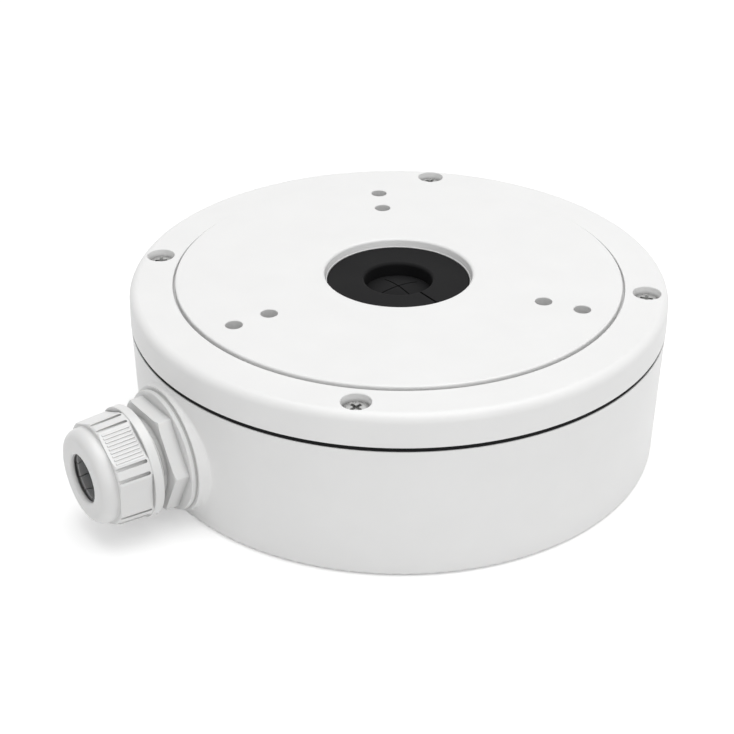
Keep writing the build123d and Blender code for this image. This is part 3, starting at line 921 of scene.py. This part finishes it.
    def _make_cover(self) -> None:
        """Model the cover with its bosses, sunk screw holes and blind camera holes."""
        cover = self._plate()
        near, far = (dims["pcd_mm"] / 2 for dims in self.circles)
        boss_low = self.high.z - self.hole_depth - self.camera_boss_floor
        boss_top = self.plate_z + self.boss_overlap
        boss = rod("camera_boss", self.camera_boss_radius, boss_low, boss_top, self.hole_steps, 0.5)
        moved(boss, Matrix.Translation((near, 0, 0)))
        shifted(boss, lambda p: p.x > near + NEAR, (far - near, 0, 0))
        post = rod("screw_boss", self.boss_radius, self.low.z, boss_top, self.hole_steps, 0.2)
        bosses = copied(boss, self.turns) + copied(post, moves=self.seats)
        combined(cover, gathered("cover_bosses", bosses), Join.ADD)
        cutters = []
        for dims, distance in zip(self.circles, (near, far)):
            radius = dims["hole_r_mm"]
            hole = self._flared("camera_hole", radius, self.high.z, self.hole_depth, self.hole_soft)
            moved(hole, Matrix.Translation((distance, 0, 0)))
            cutters += copied(hole, self.turns)
        depth = self.rim_z - box_mm("screw_seal_1")[0].z
        soft, splay = self.counterbore_soft, self.counterbore_splay
        sunk = self._flared("counterbore", self.counterbore_radius, self.rim_z, depth, soft, splay)
        cutters += copied(sunk, moves=self.seats)
        combined(cover, gathered("cover_holes", cutters), Join.CUT)
        shank = rod("screw_hole", self.screw_hole_radius, self.low.z - CLEAR, self.rim_z, self.shank_steps)
        combined(cover, gathered("screw_holes", copied(shank, moves=self.seats)), Join.CUT)
        self._mark_hole_shade(cover)
        finished(cover, ["cover"], Body.ROOT, self.finishes.casting)

    def _make_gasket(self) -> None:
        """Model the gasket ring with its soft outer edge and an ear round each cover screw."""
        low, high = box_mm("cover_gasket")
        inner = box_mm("box_body")[1].x - self.gasket_width
        outline = [
            Corner(inner, low.z, 0.1),
            Corner(high.x, low.z, 0.12),
            Corner(high.x, high.z, 0.12),
            Corner(inner, high.z, 0.1),
        ]
        ring = turned("gasket_ring", outline, self.steps)
        ends = [Corner(self.screw_hole_radius, low.z), Corner(self.boss_radius, low.z)]
        ends += [Corner(self.boss_radius, high.z), Corner(self.screw_hole_radius, high.z)]
        for ear in copied(turned("gasket_ear", ends, self.hole_steps), moves=self.seats):
            combined(ring, ear, Join.ADD)
        finished(ring, ["cover_gasket"], Body.ROOT, self.finishes.rubber)


@dataclass
class Grommet:
    """The rubber grommet of the cover's centre hole. Sizes in millimetres."""

    finishes: Finishes
    steps: int = 160
    web_radius: float = 17.9
    lower_flange_radius: float = 20.2
    lower_flange_thickness: float = 1.0
    flange_thickness: float = 1.5
    port_radius: float = 10.0
    port_soft: float = 0.9
    flange_soft: float = 0.5
    dome_edge: float = 0.5
    dome_rise: float = 1.7
    dome_thickness: float = 0.8
    dome_steps: int = 10
    slit_length: float = 14.0
    slit_width: float = 0.45
    face_slit_length: float = 8.6
    face_slit_width: float = 0.65
    face_slit_depth: float = 1.5
    face_slit_overlap: float = 0.6
    face_slit_slope: float = 0.3

    def _dome(self, edge: float, foot: float, inset: float) -> list[Corner]:
        """Set out one side of the domed diaphragm, from its foot to its middle.

        Args:
            edge: Height of the dome's upper side at the wall of the port.
            foot: Height that this side starts from.
            inset: How far this side lies inside the upper one.

        Returns:
            The corners, which end on the axis.
        """
        bend = (self.port_radius**2 + self.dome_rise**2) / (2 * self.dome_rise)
        centre = edge + self.dome_rise - bend
        curve = bend - inset
        reach = sqrt(curve**2 - (foot - centre) ** 2)
        radii = [reach * (1 - step / self.dome_steps) for step in range(self.dome_steps + 1)]
        return [Corner(r, centre + sqrt(curve**2 - r**2)) for r in radii]

    def build(self) -> None:
        """Model the grommet, its domed slit diaphragm and the short slit in its face."""
        low, high = box_mm("cable_grommet")
        web = low.z + self.lower_flange_thickness
        under = high.z - self.flange_thickness
        edge = low.z + self.dome_edge
        outline = [
            *reversed(self._dome(edge, low.z, self.dome_thickness)),
            Corner(self.lower_flange_radius, low.z, 0.3),
            Corner(self.lower_flange_radius, web, 0.2),
            Corner(self.web_radius, web, 0.1),
            Corner(self.web_radius, under, 0.1),
            Corner(high.x, under, 0.15),
            Corner(high.x, high.z, self.flange_soft),
            Corner(self.port_radius, high.z, self.port_soft),
            *self._dome(edge, edge, 0.0),
        ]
        grommet = turned("grommet_moulding", outline, self.steps, closed=False)
        half, side = self.slit_length / 2, self.slit_width / 2
        top = edge + self.dome_rise
        for x, y in ((half, side), (side, half)):
            blade = block("slit_blade", (-x, -y, low.z - CLEAR), (x, y, top + CLEAR))
            combined(grommet, blade, Join.CUT)
        start = -self.port_radius + self.face_slit_overlap
        end = start - self.face_slit_length - self.face_slit_overlap
        side = self.face_slit_width / 2
        floor = high.z - self.face_slit_depth
        knife = block("face_slit_blade", (-side, end, floor), (side, start, high.z + CLEAR))
        rise = self.face_slit_depth * self.face_slit_slope
        shifted(knife, lambda p: p.y < start - NEAR and p.z < high.z, (0, 0, rise))
        combined(grommet, knife, Join.CUT)
        finished(grommet, ["cable_grommet"], Body.ROOT, self.finishes.rubber)


@dataclass
class Screws:
    """The steel screws, with their domed pan heads and cross recesses. Sizes in millimetres."""

    finishes: Finishes
    head_radius: float = 3.6
    head_height: float = 2.4
    rim_height: float = 1.9
    crown: float = 0.75
    shank_radius: float = 1.95
    under_head_soft: float = 0.15
    arm_length: float = 4.1
    arm_width: float = 1.1
    arm_draft: float = 0.75
    recess_depth: float = 1.2
    point_radius: float = 1.05
    point_drop: float = 0.45
    point_steps: int = 16
    tip_chamfer: float = 0.5
    head_steps: int = 64
    cover_turns: tuple[float, ...] = (18.0, 62.0, 8.0, 40.0)
    earth_turn: float = 30.0

    def build(self) -> None:
        """Model the four cover screws and the earthing screw."""
        for number, turn in enumerate(self.cover_turns, start=1):
            self._make_screw(f"cover_screw_{number}", turn)
        self._make_screw("earth_screw", self.earth_turn)

    def _make_screw(self, node: str, turn: float) -> None:
        """Model one screw in the place of its node.

        Args:
            node: Name of the node.
            turn: Angle that its recess stands at, in degrees.
        """
        low, high = box_mm(node)
        length = high.z - low.z
        seat = length - self.head_height
        outline = [
            Corner(0, 0),
            Corner(self.shank_radius - self.tip_chamfer, 0),
            Corner(self.shank_radius, self.tip_chamfer),
            Corner(self.shank_radius, seat, self.under_head_soft),
            Corner(self.head_radius, seat, self.under_head_soft),
            Corner(self.head_radius, seat + self.rim_height, 0.4),
            Corner(self.head_radius - self.crown, length, 0.6),
            Corner(0, length),
        ]
        screw = turned(f"{node}_steel", outline, self.head_steps, closed=False)
        combined(screw, self._recess(length), Join.CUT)
        middle = ((low.x + high.x) / 2, (low.y + high.y) / 2, low.z)
        moved(screw, Matrix.Translation(middle) @ Matrix.Rotation(radians(turn), 4, "Z"))
        finished(screw, [node], Body.ROOT, self.finishes.steel)

    def _recess(self, top: float) -> Piece:
        """Shape the cutter of a cross recess: two tapered bars and a point.

        Args:
            top: Height of the head's top.

        Returns:
            The cutter.
        """
        deep, mouth = top - self.recess_depth, top + CLEAR
        x, y = self.arm_length / 2, self.arm_width / 2
        draft = (self.arm_draft, self.arm_draft, 1.0)
        bars = []
        for across, along in ((x, y), (y, x)):
            bar = block("recess_bar", (-across, -along, deep), (across, along, mouth))
            take_up(bar)
            bpy.ops.object.mode_set(mode="EDIT")
            pick(bar, lambda p: p.z < deep + NEAR)
            bpy.ops.transform.resize(value=draft, center_override=(0, 0, deep))
            bpy.ops.object.mode_set(mode="OBJECT")
            bars.append(bar)
        cross, crossbar = bars
        outline = [Corner(0, deep - self.point_drop), Corner(self.point_radius, mouth), Corner(0, mouth)]
        for shape in (crossbar, turned("recess_point", outline, self.point_steps, closed=False)):
            combined(cross, shape, Join.ADD)
        return cross


@dataclass
class Gland:
    """The cable gland on the box's side. Distances along its axis and radii about it, in millimetres."""

    finishes: Finishes
    steps: int = 144
    hex_inset: float = 3.4
    hex_length: float = 4.2
    hex_turn: float = 2.0
    hex_chamfer: float = 0.9
    hex_chamfer_angle: float = 30.0
    hex_overlap: float = 0.4
    hex_slack: float = 0.2
    hex_soft: float = 0.35
    flange_thickness: float = 1.2
    flange_soft: float = 0.35
    neck_radius: float = 12.3
    entry_radius: float = 11.25
    pitch: float = 1.5
    thread_depth: float = 0.8
    crest: float = 0.3
    root: float = 0.15
    thread_foot: float = 0.3
    thread_steps: int = 72
    entry_lead: float = 0.4
    entry_run_out: float = 0.6
    claw_bore_radius: float = 10.2
    claw_bore_depth: float = 11.5
    clearance: float = 0.1
    cable_bore_radius: float = 7.6
    collar_length: float = 2.75
    collar_soft: float = 0.45
    grip_inset: float = 0.4
    grip_narrowing: float = 0.5
    grip_soft: float = 0.7
    panel_depth: float = 0.9
    rib_count: int = 6
    rib_first_angle: float = 25.3
    rib_half_angle: float = 6.2
    groove_width: float = 1.0
    groove_depth: float = 0.4
    groove_margin: float = 0.5
    ridge_count: int = 9
    ridge_width: float = 0.5
    ridge_height: float = 0.28
    ridge_foot: float = 0.2
    ridge_side_margin: float = 0.48
    ridge_end_margin: float = 0.9
    dome_length: float = 4.2
    dome_inset: float = 0.7
    dome_soft: float = 2.8
    mouth_radius: float = 6.9
    mouth_soft: float = 0.85
    lip_length: float = 1.2
    cone_lead: float = 4.2
    cone_front_radius: float = 8.3
    cone_angle: float = 43.0
    nut_bore_radius: float = 12.4
    nut_edge: float = 0.4
    panel_half_width: float = 7.0
    relief_inset: float = 0.3
    relief_depth: float = 0.25
    relief_width: float = 0.45
    washer_inset: float = 0.15
    claw_slots: int = 12
    claw_slot_width: float = 0.35
    claw_wall: float = 1.4
    claw_tip_wall: float = 1.6
    claw_gap: float = 0.45
    claw_flange_start: float = 2.2

    def __post_init__(self) -> None:
        """Read the gland's place from the frame."""
        body_low, body_high = box_mm("gland_body")
        nut_low, nut_high = box_mm("gland_cap_nut")
        washer_low, _ = box_mm("gland_washer")
        self.height = (nut_low.z + nut_high.z) / 2
        self.entry_end, self.neck_end = -body_high.x, -body_low.x
        self.flange_face = -washer_low.x
        self.flange_radius = body_high.y
        self.hex_start = self.flange_face + self.flange_thickness
        self.hex_end = self.hex_start + self.hex_length
        self.hex_corner = 2 * (self.flange_radius - self.hex_inset) / sqrt(3)
        self.nut_rear, self.nut_front = -nut_high.x, -nut_low.x
        self.collar_radius = (nut_high.z - nut_low.z) / 2
        self.grip_rear = self.nut_rear + self.collar_length
        self.grip_front = self.nut_front - self.dome_length
        self.rear_radius = self.collar_radius - self.grip_inset
        self.front_radius = self.rear_radius - self.grip_narrowing
        self.cone_front = self.nut_front - self.lip_length
        self.panel_turns = [(panel + 0.5) * 360 / self.rib_count for panel in range(self.rib_count)]
        self.place = Matrix(((0, 0, -1, 0), (-1, 0, 0, 0), (0, 1, 0, self.height * MM), (0, 0, 0, 1)))

    def build(self) -> None:
        """Model the gland body, the cap nut and the claw."""
        self._make_body()
        self._make_washer()
        self._make_nut()
        self._make_claw()

    def _thread(self, start: float, turns: int, crest_radius: float) -> Piece:
        """Wind a right-handed thread of V-shaped turns whose two ends run out.

        Args:
            start: Where the first turn starts, along the axis.
            turns: Number of turns.
            crest_radius: Radius of the thread's crest.

        Returns:
            The closed ridge, sunk a little into the core that it stands on.
        """
        root_radius = crest_radius - self.thread_depth
        sunk = root_radius - self.thread_foot
        flank = (self.pitch - self.crest - self.root) / 2
        end = start + 2 * flank + self.crest
        section = [
            Corner(sunk, start),
            Corner(root_radius, start),
            Corner(crest_radius, start + flank),
            Corner(crest_radius, start + flank + self.crest),
            Corner(root_radius, end),
            Corner(sunk, end),
        ]
        ridge = drawn("thread_ridge", section)
        pick(ridge, lambda p: p.x < sunk + NEAR)
        bpy.ops.mesh.edge_face_add()
        modified(
            ridge,
            "SCREW",
            screw_offset=self.pitch,
            iterations=turns,
            steps=self.thread_steps,
            render_steps=self.thread_steps,
            use_merge_vertices=False,
        )
        bpy.ops.object.mode_set(mode="EDIT")
        bpy.ops.mesh.select_all(action="SELECT")
        bpy.ops.mesh.fill_holes(sides=len(section))
        bpy.ops.mesh.select_all(action="SELECT")
        bpy.ops.mesh.normals_make_consistent(inside=False)
        bpy.ops.object.mode_set(mode="OBJECT")
        return ridge

    def _make_body(self) -> None:
        """Model the gland body: flange, chamfered hexagon, neck and entry threads, and its stepped bore."""
        neck_root = self.neck_radius - self.thread_depth
        entry_root = self.entry_radius - self.thread_depth
        outline = [
            Corner(0, self.entry_end),
            Corner(entry_root, self.entry_end, 0.3),
            Corner(entry_root, self.flange_face, 0.2),
            Corner(self.flange_radius, self.flange_face, 0.1),
            Corner(self.flange_radius, self.hex_start, self.flange_soft),
            Corner(neck_root, self.hex_start),
            Corner(neck_root, self.neck_end, 0.3),
            Corner(0, self.neck_end),
        ]
        body = turned("gland_moulding", outline, self.steps, closed=False)
        hexagon = primitive(
            "gland_hexagon",
            bpy.ops.mesh.primitive_cylinder_add,
            vertices=6,
            radius=self.hex_corner,
            depth=self.hex_length,
            location=(0, 0, self.hex_start + self.hex_length / 2),
        )
        softened(hexagon, lambda a, b: abs(a.z - b.z) > NEAR, self.hex_soft, 4)
        shifted(hexagon, lambda p: p.z < self.hex_start + NEAR, (0, 0, -self.hex_overlap))
        slope = self.hex_chamfer * tan(radians(self.hex_chamfer_angle))
        barrel = [
            Corner(0, self.hex_start - CLEAR),
            Corner(self.hex_corner + CLEAR, self.hex_start - CLEAR),
            Corner(self.hex_corner + self.hex_slack, self.hex_end - slope, 0.3),
            Corner(self.hex_corner - self.hex_chamfer, self.hex_end, 0.25),
            Corner(0, self.hex_end),
        ]
        combined(hexagon, turned("hex_barrel", barrel, self.steps, closed=False), Join.TRIM)
        turn = radians(self.hex_turn + 90)
        moved(hexagon, Matrix.Rotation(turn, 4, "Z"))
        combined(body, hexagon, Join.ADD)
        neck_start = self.hex_end + self.pitch / 2
        entry_start = self.entry_end + self.entry_lead
        neck_turns = int((self.neck_end - neck_start - self.pitch) / self.pitch)
        entry_room = self.flange_face - self.entry_run_out - self.entry_end - self.pitch
        entry_turns = int(entry_room / self.pitch)
        combined(body, self._thread(neck_start, neck_turns, self.neck_radius), Join.ADD)
        combined(body, self._thread(entry_start, entry_turns, self.entry_radius), Join.ADD)
        bore_floor = self.neck_end - self.claw_bore_depth
        bore = [
            Corner(0, self.entry_end - CLEAR),
            Corner(self.cable_bore_radius, self.entry_end - CLEAR),
            Corner(self.cable_bore_radius, bore_floor),
            Corner(self.claw_bore_radius, bore_floor),
            Corner(self.claw_bore_radius, self.neck_end + CLEAR),
            Corner(0, self.neck_end + CLEAR),
        ]
        combined(body, turned("gland_bore", bore, self.steps, closed=False), Join.CUT)
        finished(body, ["gland_body"], Body.ROOT, self.finishes.nylon, self.place)

    def _make_washer(self) -> None:
        """Model the sealing washer, squeezed out nearly to the flange's edge."""
        low, high = box_mm("gland_washer")
        outer = self.flange_radius - self.washer_inset
        inner = self.entry_radius + self.clearance
        outline = [
            Corner(inner, -high.x),
            Corner(inner, -low.x),
            Corner(outer, -low.x, 0.1),
            Corner(outer, -high.x, 0.1),
        ]
        washer = turned("washer_ring", outline, self.steps)
        finished(washer, ["gland_washer"], Body.ROOT, self.finishes.washer, self.place)

    def _nut_blank(self) -> Piece:
        """Turn the nut's collar, conical grip, dome, mouth, cone and bore.

        Returns:
            The nut before its panels are cut.
        """
        cone_rear = self.neck_end + self.cone_lead
        dome_radius = self.front_radius - self.panel_depth - self.dome_inset
        outline = [
            Corner(self.nut_bore_radius + self.nut_edge, self.nut_rear),
            Corner(self.nut_bore_radius, self.nut_rear + self.nut_edge),
            Corner(self.nut_bore_radius, cone_rear),
            Corner(self.cone_front_radius, self.cone_front),
            Corner(self.mouth_radius, self.cone_front),
            Corner(self.mouth_radius, self.nut_front, self.mouth_soft),
            Corner(dome_radius, self.nut_front, self.dome_soft),
            Corner(dome_radius, self.grip_front, 0.3),
            Corner(self.front_radius, self.grip_front, self.grip_soft),
            Corner(self.rear_radius, self.grip_rear, 0.2),
            Corner(self.collar_radius, self.grip_rear, self.collar_soft),
            Corner(self.collar_radius, self.nut_rear, self.collar_soft),
        ]
        return turned("cap_nut_moulding", outline, self.steps)

    def _panels(self) -> Piece:
        """Shape the cutter that leaves the six flat panels between the ribs.

        Returns:
            The cutter.
        """
        rear = self.rear_radius - self.panel_depth
        tool = block(
            "panel_cutter",
            (rear, -self.panel_half_width, self.grip_rear),
            (self.collar_radius + 3 * CLEAR, self.panel_half_width, self.grip_front),
        )
        at_front = lambda p: p.z > self.grip_front - NEAR
        at_floor = lambda p: p.x < rear + NEAR
        shifted(tool, lambda p: at_front(p) and at_floor(p), (-self.grip_narrowing, 0, 0))
        rear_edge = lambda a, b: all(p.z < self.grip_rear + NEAR and at_floor(p) for p in (a, b))
        softened(tool, rear_edge, 0.15, 2)
        shifted(tool, at_front, (0, 0, CLEAR))
        half = self.panel_half_width - self.relief_inset
        relief = block(
            "panel_relief",
            (rear - self.relief_depth, -half, self.grip_rear + NEAR),
            (self.collar_radius, half, self.grip_rear + self.relief_width),
        )
        combined(tool, relief, Join.ADD)
        return gathered("panel_cutters", copied(tool, self.panel_turns))

    def _grooves(self) -> Piece:
        """Shape the cutter of the two grooves beside each rib, round at the collar's end.

        Returns:
            The cutter.
        """
        floor = self.front_radius - self.groove_depth
        centre = self.grip_rear + self.groove_margin + self.groove_width / 2
        reach = self.collar_radius + CLEAR - floor
        tool = primitive(
            "groove_cutter",
            bpy.ops.mesh.primitive_cylinder_add,
            vertices=24,
            radius=self.groove_width / 2,
            depth=reach,
            location=(floor + reach / 2, 0, centre),
            rotation=(0, pi / 2, 0),
        )
        softened(tool, lambda a, b: a.x < floor + NEAR and b.x < floor + NEAR, 0.14, 2)
        shifted(tool, lambda p: p.z > centre + NEAR, (0, 0, self.grip_front - centre + CLEAR))
        middles = [rib * 360 / self.rib_count for rib in range(self.rib_count)]
        turns = [middle + side * self.rib_half_angle for middle in middles for side in (-1, 1)]
        return gathered("groove_cutters", copied(tool, turns))

    def _ridges(self) -> Piece:
        """Shape the fine ridges on every other panel.

        Returns:
            The ridges, sunk a little into their panels.
        """
        lean = self.grip_narrowing / (self.grip_front - self.grip_rear)
        panel = self.rear_radius - self.panel_depth
        rear = self.grip_rear + self.ridge_end_margin
        front = self.grip_front - self.ridge_end_margin
        base = panel - lean * self.ridge_end_margin
        half = self.ridge_width / 2
        top = base + self.ridge_height
        bar = block("ridge", (base - self.ridge_foot, -half, rear), (top, half, front))
        softened(bar, lambda a, b: a.x > top - NEAR and b.x > top - NEAR, 0.14, 3)
        shifted(bar, lambda p: p.z > (rear + front) / 2, (-lean * (front - rear), 0, 0))
        near_front = self.front_radius - self.panel_depth
        side = sqrt(self.front_radius**2 - near_front**2) - self.ridge_side_margin - half
        gaps = self.ridge_count - 1
        moves = [(0, side * (2 * number / gaps - 1), 0) for number in range(self.ridge_count)]
        bank = gathered("ridge_bank", copied(bar, moves=moves))
        return gathered("ridges", copied(bank, self.panel_turns[::2]))

    def _make_nut(self) -> None:
        """Model the domed cap nut."""
        nut = self._nut_blank()
        combined(nut, self._panels(), Join.CUT)
        combined(nut, self._grooves(), Join.CUT)
        combined(nut, self._ridges(), Join.ADD)
        moved(nut, Matrix.Rotation(radians(self.rib_first_angle), 4, "Z"))
        finished(nut, ["gland_cap_nut"], Body.NUT, self.finishes.nylon, self.place)

    def _make_claw(self) -> None:
        """Model the clamping claw with its slotted fingers."""
        low, high = box_mm("gland_claw")
        rear, tip = -high.x, -low.x
        outer = self.claw_bore_radius - self.clearance
        inner = outer - self.claw_wall
        flange = (high.y - low.y) / 2
        flange_start = self.neck_end + self.claw_flange_start
        slope = tan(radians(self.cone_angle))
        foot = self.cone_front_radius - self.claw_gap / cos(radians(self.cone_angle))
        cone_start = self.cone_front - (flange - foot) / slope
        tip_radius = foot + (self.cone_front - tip) * slope
        outline = [
            Corner(inner, rear, 0.2),
            Corner(outer, rear, 0.2),
            Corner(outer, flange_start, 0.2),
            Corner(flange, flange_start, 0.2),
            Corner(flange, cone_start, 0.3),
            Corner(tip_radius, tip, 0.3),
            Corner(tip_radius - self.claw_tip_wall, tip, 0.25),
            Corner(inner, cone_start, 0.3),
        ]
        claw = turned("claw_moulding", outline, self.steps)
        half = self.claw_slot_width / 2
        near, far = self.mouth_radius - CLEAR, flange + 2 * CLEAR
        blade = block("claw_blade", (near, -half, cone_start), (far, half, tip + CLEAR))
        turns = [slot * 360 / self.claw_slots for slot in range(self.claw_slots)]
        combined(claw, gathered("claw_blades", copied(blade, turns)), Join.CUT)
        finished(claw, ["gland_claw"], Body.CLAW, self.finishes.claw, self.place)


@dataclass(frozen=True)
class Lamp:
    """A soft square lamp that faces the box.

    Attributes:
        name: Its name.
        place: Where it stands, in metres.
        size: Its width, in metres.
        power: Its power, in watts.
    """

    name: str
    place: Point
    size: float
    power: float


@dataclass(frozen=True)
class Studio:
    """The pale floor, the soft light and the camera. Lengths in metres unless a name says otherwise."""

    camera_place: Point = (-0.237202, -0.317074, 0.252388)
    camera_right: Point = (0.81484489, -0.57967729, 0.00143089)
    camera_up: Point = (0.29348332, 0.41467188, 0.86134475)
    lens_mm: float = 74.2
    sensor_mm: float = 36.0
    floor_width: float = 6.0
    floor_gap: float = 0.00002
    floor_colour: Colour = (0.9, 0.9, 0.9)
    floor_lift: float = 0.35
    far_lift: float = 0.75
    floor_fade: tuple[float, float] = (0.5, 1.5)
    sky: float = 0.32
    lamps: tuple[Lamp, ...] = (
        Lamp("overhead_softbox", (0.1, -0.1, 1.2), 1.2, 11.2),
        Lamp("left_softbox", (-0.9, -0.63, 0.65), 0.8, 1.1),
        Lamp("front_softbox", (-0.19, -1.08, 0.2), 0.5, 1.2),
    )

    def build(self) -> None:
        """Set up the floor, the light and the camera."""
        self._add_floor()
        self._add_sky()
        for lamp in self.lamps:
            self._add_lamp(lamp)
        self._add_camera()
        bpy.context.scene.view_settings.view_transform = "Standard"

    @staticmethod
    def _seen(wiring: Wiring) -> Socket:
        """Say whether a ray comes from the camera, or by way of a mirror or glass.

        Args:
            wiring: The wiring of the floor or the sky.

        Returns:
            1 for such a ray and 0 for the others.
        """
        rays = wiring.add("ShaderNodeLightPath").outputs
        mirrored = wiring.math("MAXIMUM", rays["Is Glossy Ray"], rays["Is Transmission Ray"])
        return wiring.math("MAXIMUM", rays["Is Camera Ray"], mirrored)

    def _add_floor(self) -> None:
        """Lay the floor, which looks white and still keeps the box's shadow."""
        place = (0, 0, -self.floor_gap)
        plane = bpy.ops.mesh.primitive_plane_add
        floor = primitive("studio_floor", plane, size=self.floor_width, location=place)
        material = bpy.data.materials.new("pale_floor")
        wiring = Wiring.of(material)
        matt = wiring.add("ShaderNodeBsdfDiffuse", {"Color": (*self.floor_colour, 1.0)})
        place = wiring.add("ShaderNodeTexCoord").outputs["Object"]
        away = wiring.add("ShaderNodeVectorMath", {0: place}, operation="LENGTH").outputs["Value"]
        lift = wiring.mapped(away, self.floor_fade, (self.floor_lift, self.far_lift))
        lift = wiring.math("MULTIPLY", self._seen(wiring), lift)
        glow = wiring.add("ShaderNodeEmission", {"Color": WHITE, "Strength": lift})
        both = wiring.add("ShaderNodeAddShader", {0: matt.outputs[0], 1: glow.outputs[0]})
        wiring.add("ShaderNodeOutputMaterial", {"Surface": both.outputs[0]})
        floor.data.materials.append(material)

    def _add_sky(self) -> None:
        """Light the box evenly from all round, with a white background behind it."""
        world = bpy.data.worlds.new("studio_sky")
        bpy.context.scene.world = world
        wiring = Wiring.of(world)
        strength = wiring.mapped(self._seen(wiring), (0.0, 1.0), (self.sky, 1.0))
        sky = wiring.add("ShaderNodeBackground", {"Color": WHITE, "Strength": strength})
        wiring.add("ShaderNodeOutputWorld", {"Surface": sky.outputs[0]})

    def _add_lamp(self, lamp: Lamp) -> None:
        """Hang one lamp.

        Args:
            lamp: The lamp.
        """
        data = bpy.data.lights.new(lamp.name, "AREA")
        data.energy = lamp.power
        data.size = lamp.size
        light = bpy.data.objects.new(lamp.name, data)
        light.location = lamp.place
        light.rotation_mode = "QUATERNION"
        light.rotation_quaternion = (-Vector(lamp.place)).to_track_quat("-Z", "Y")
        bpy.context.scene.collection.objects.link(light)

    def _add_camera(self) -> None:
        """Stand the camera at the photograph's angle."""
        data = bpy.data.cameras.new("studio_camera")
        data.sensor_width = self.sensor_mm
        data.lens = self.lens_mm
        camera = bpy.data.objects.new("studio_camera", data)
        right, up = Vector(self.camera_right), Vector(self.camera_up)
        turn = Matrix((right, up, right.cross(up))).transposed()
        camera.matrix_world = Matrix.Translation(self.camera_place) @ turn.to_4x4()
        bpy.context.scene.collection.objects.link(camera)
        bpy.context.scene.camera = camera


def dress_kept_solids(finishes: Finishes) -> None:
    """Give the solids that stay as they are their finishes.

    Args:
        finishes: The finishes of the box.
    """
    dressed("box_body", finishes.casting)
    dressed("rear_plug", finishes.rubber)
    dressed("earth_washer", finishes.steel)
    dressed("gland_lock_nut", finishes.nylon)
    dressed("gland_seal", finishes.seal)
    for number in range(1, 5):
        dressed(f"screw_seal_{number}", finishes.rubber)


def main() -> None:
    """Build the box's pieces in order, then the studio."""
    logging.basicConfig(level=logging.INFO, format="%(message)s")
    finishes = Finishes()
    dress_kept_solids(finishes)
    for assembly in (Cover(finishes), Grommet(finishes), Screws(finishes), Gland(finishes), Studio()):
        assembly.build()
        LOG.info("%s done", type(assembly).__name__)


if __name__ == "__main__":
    main()
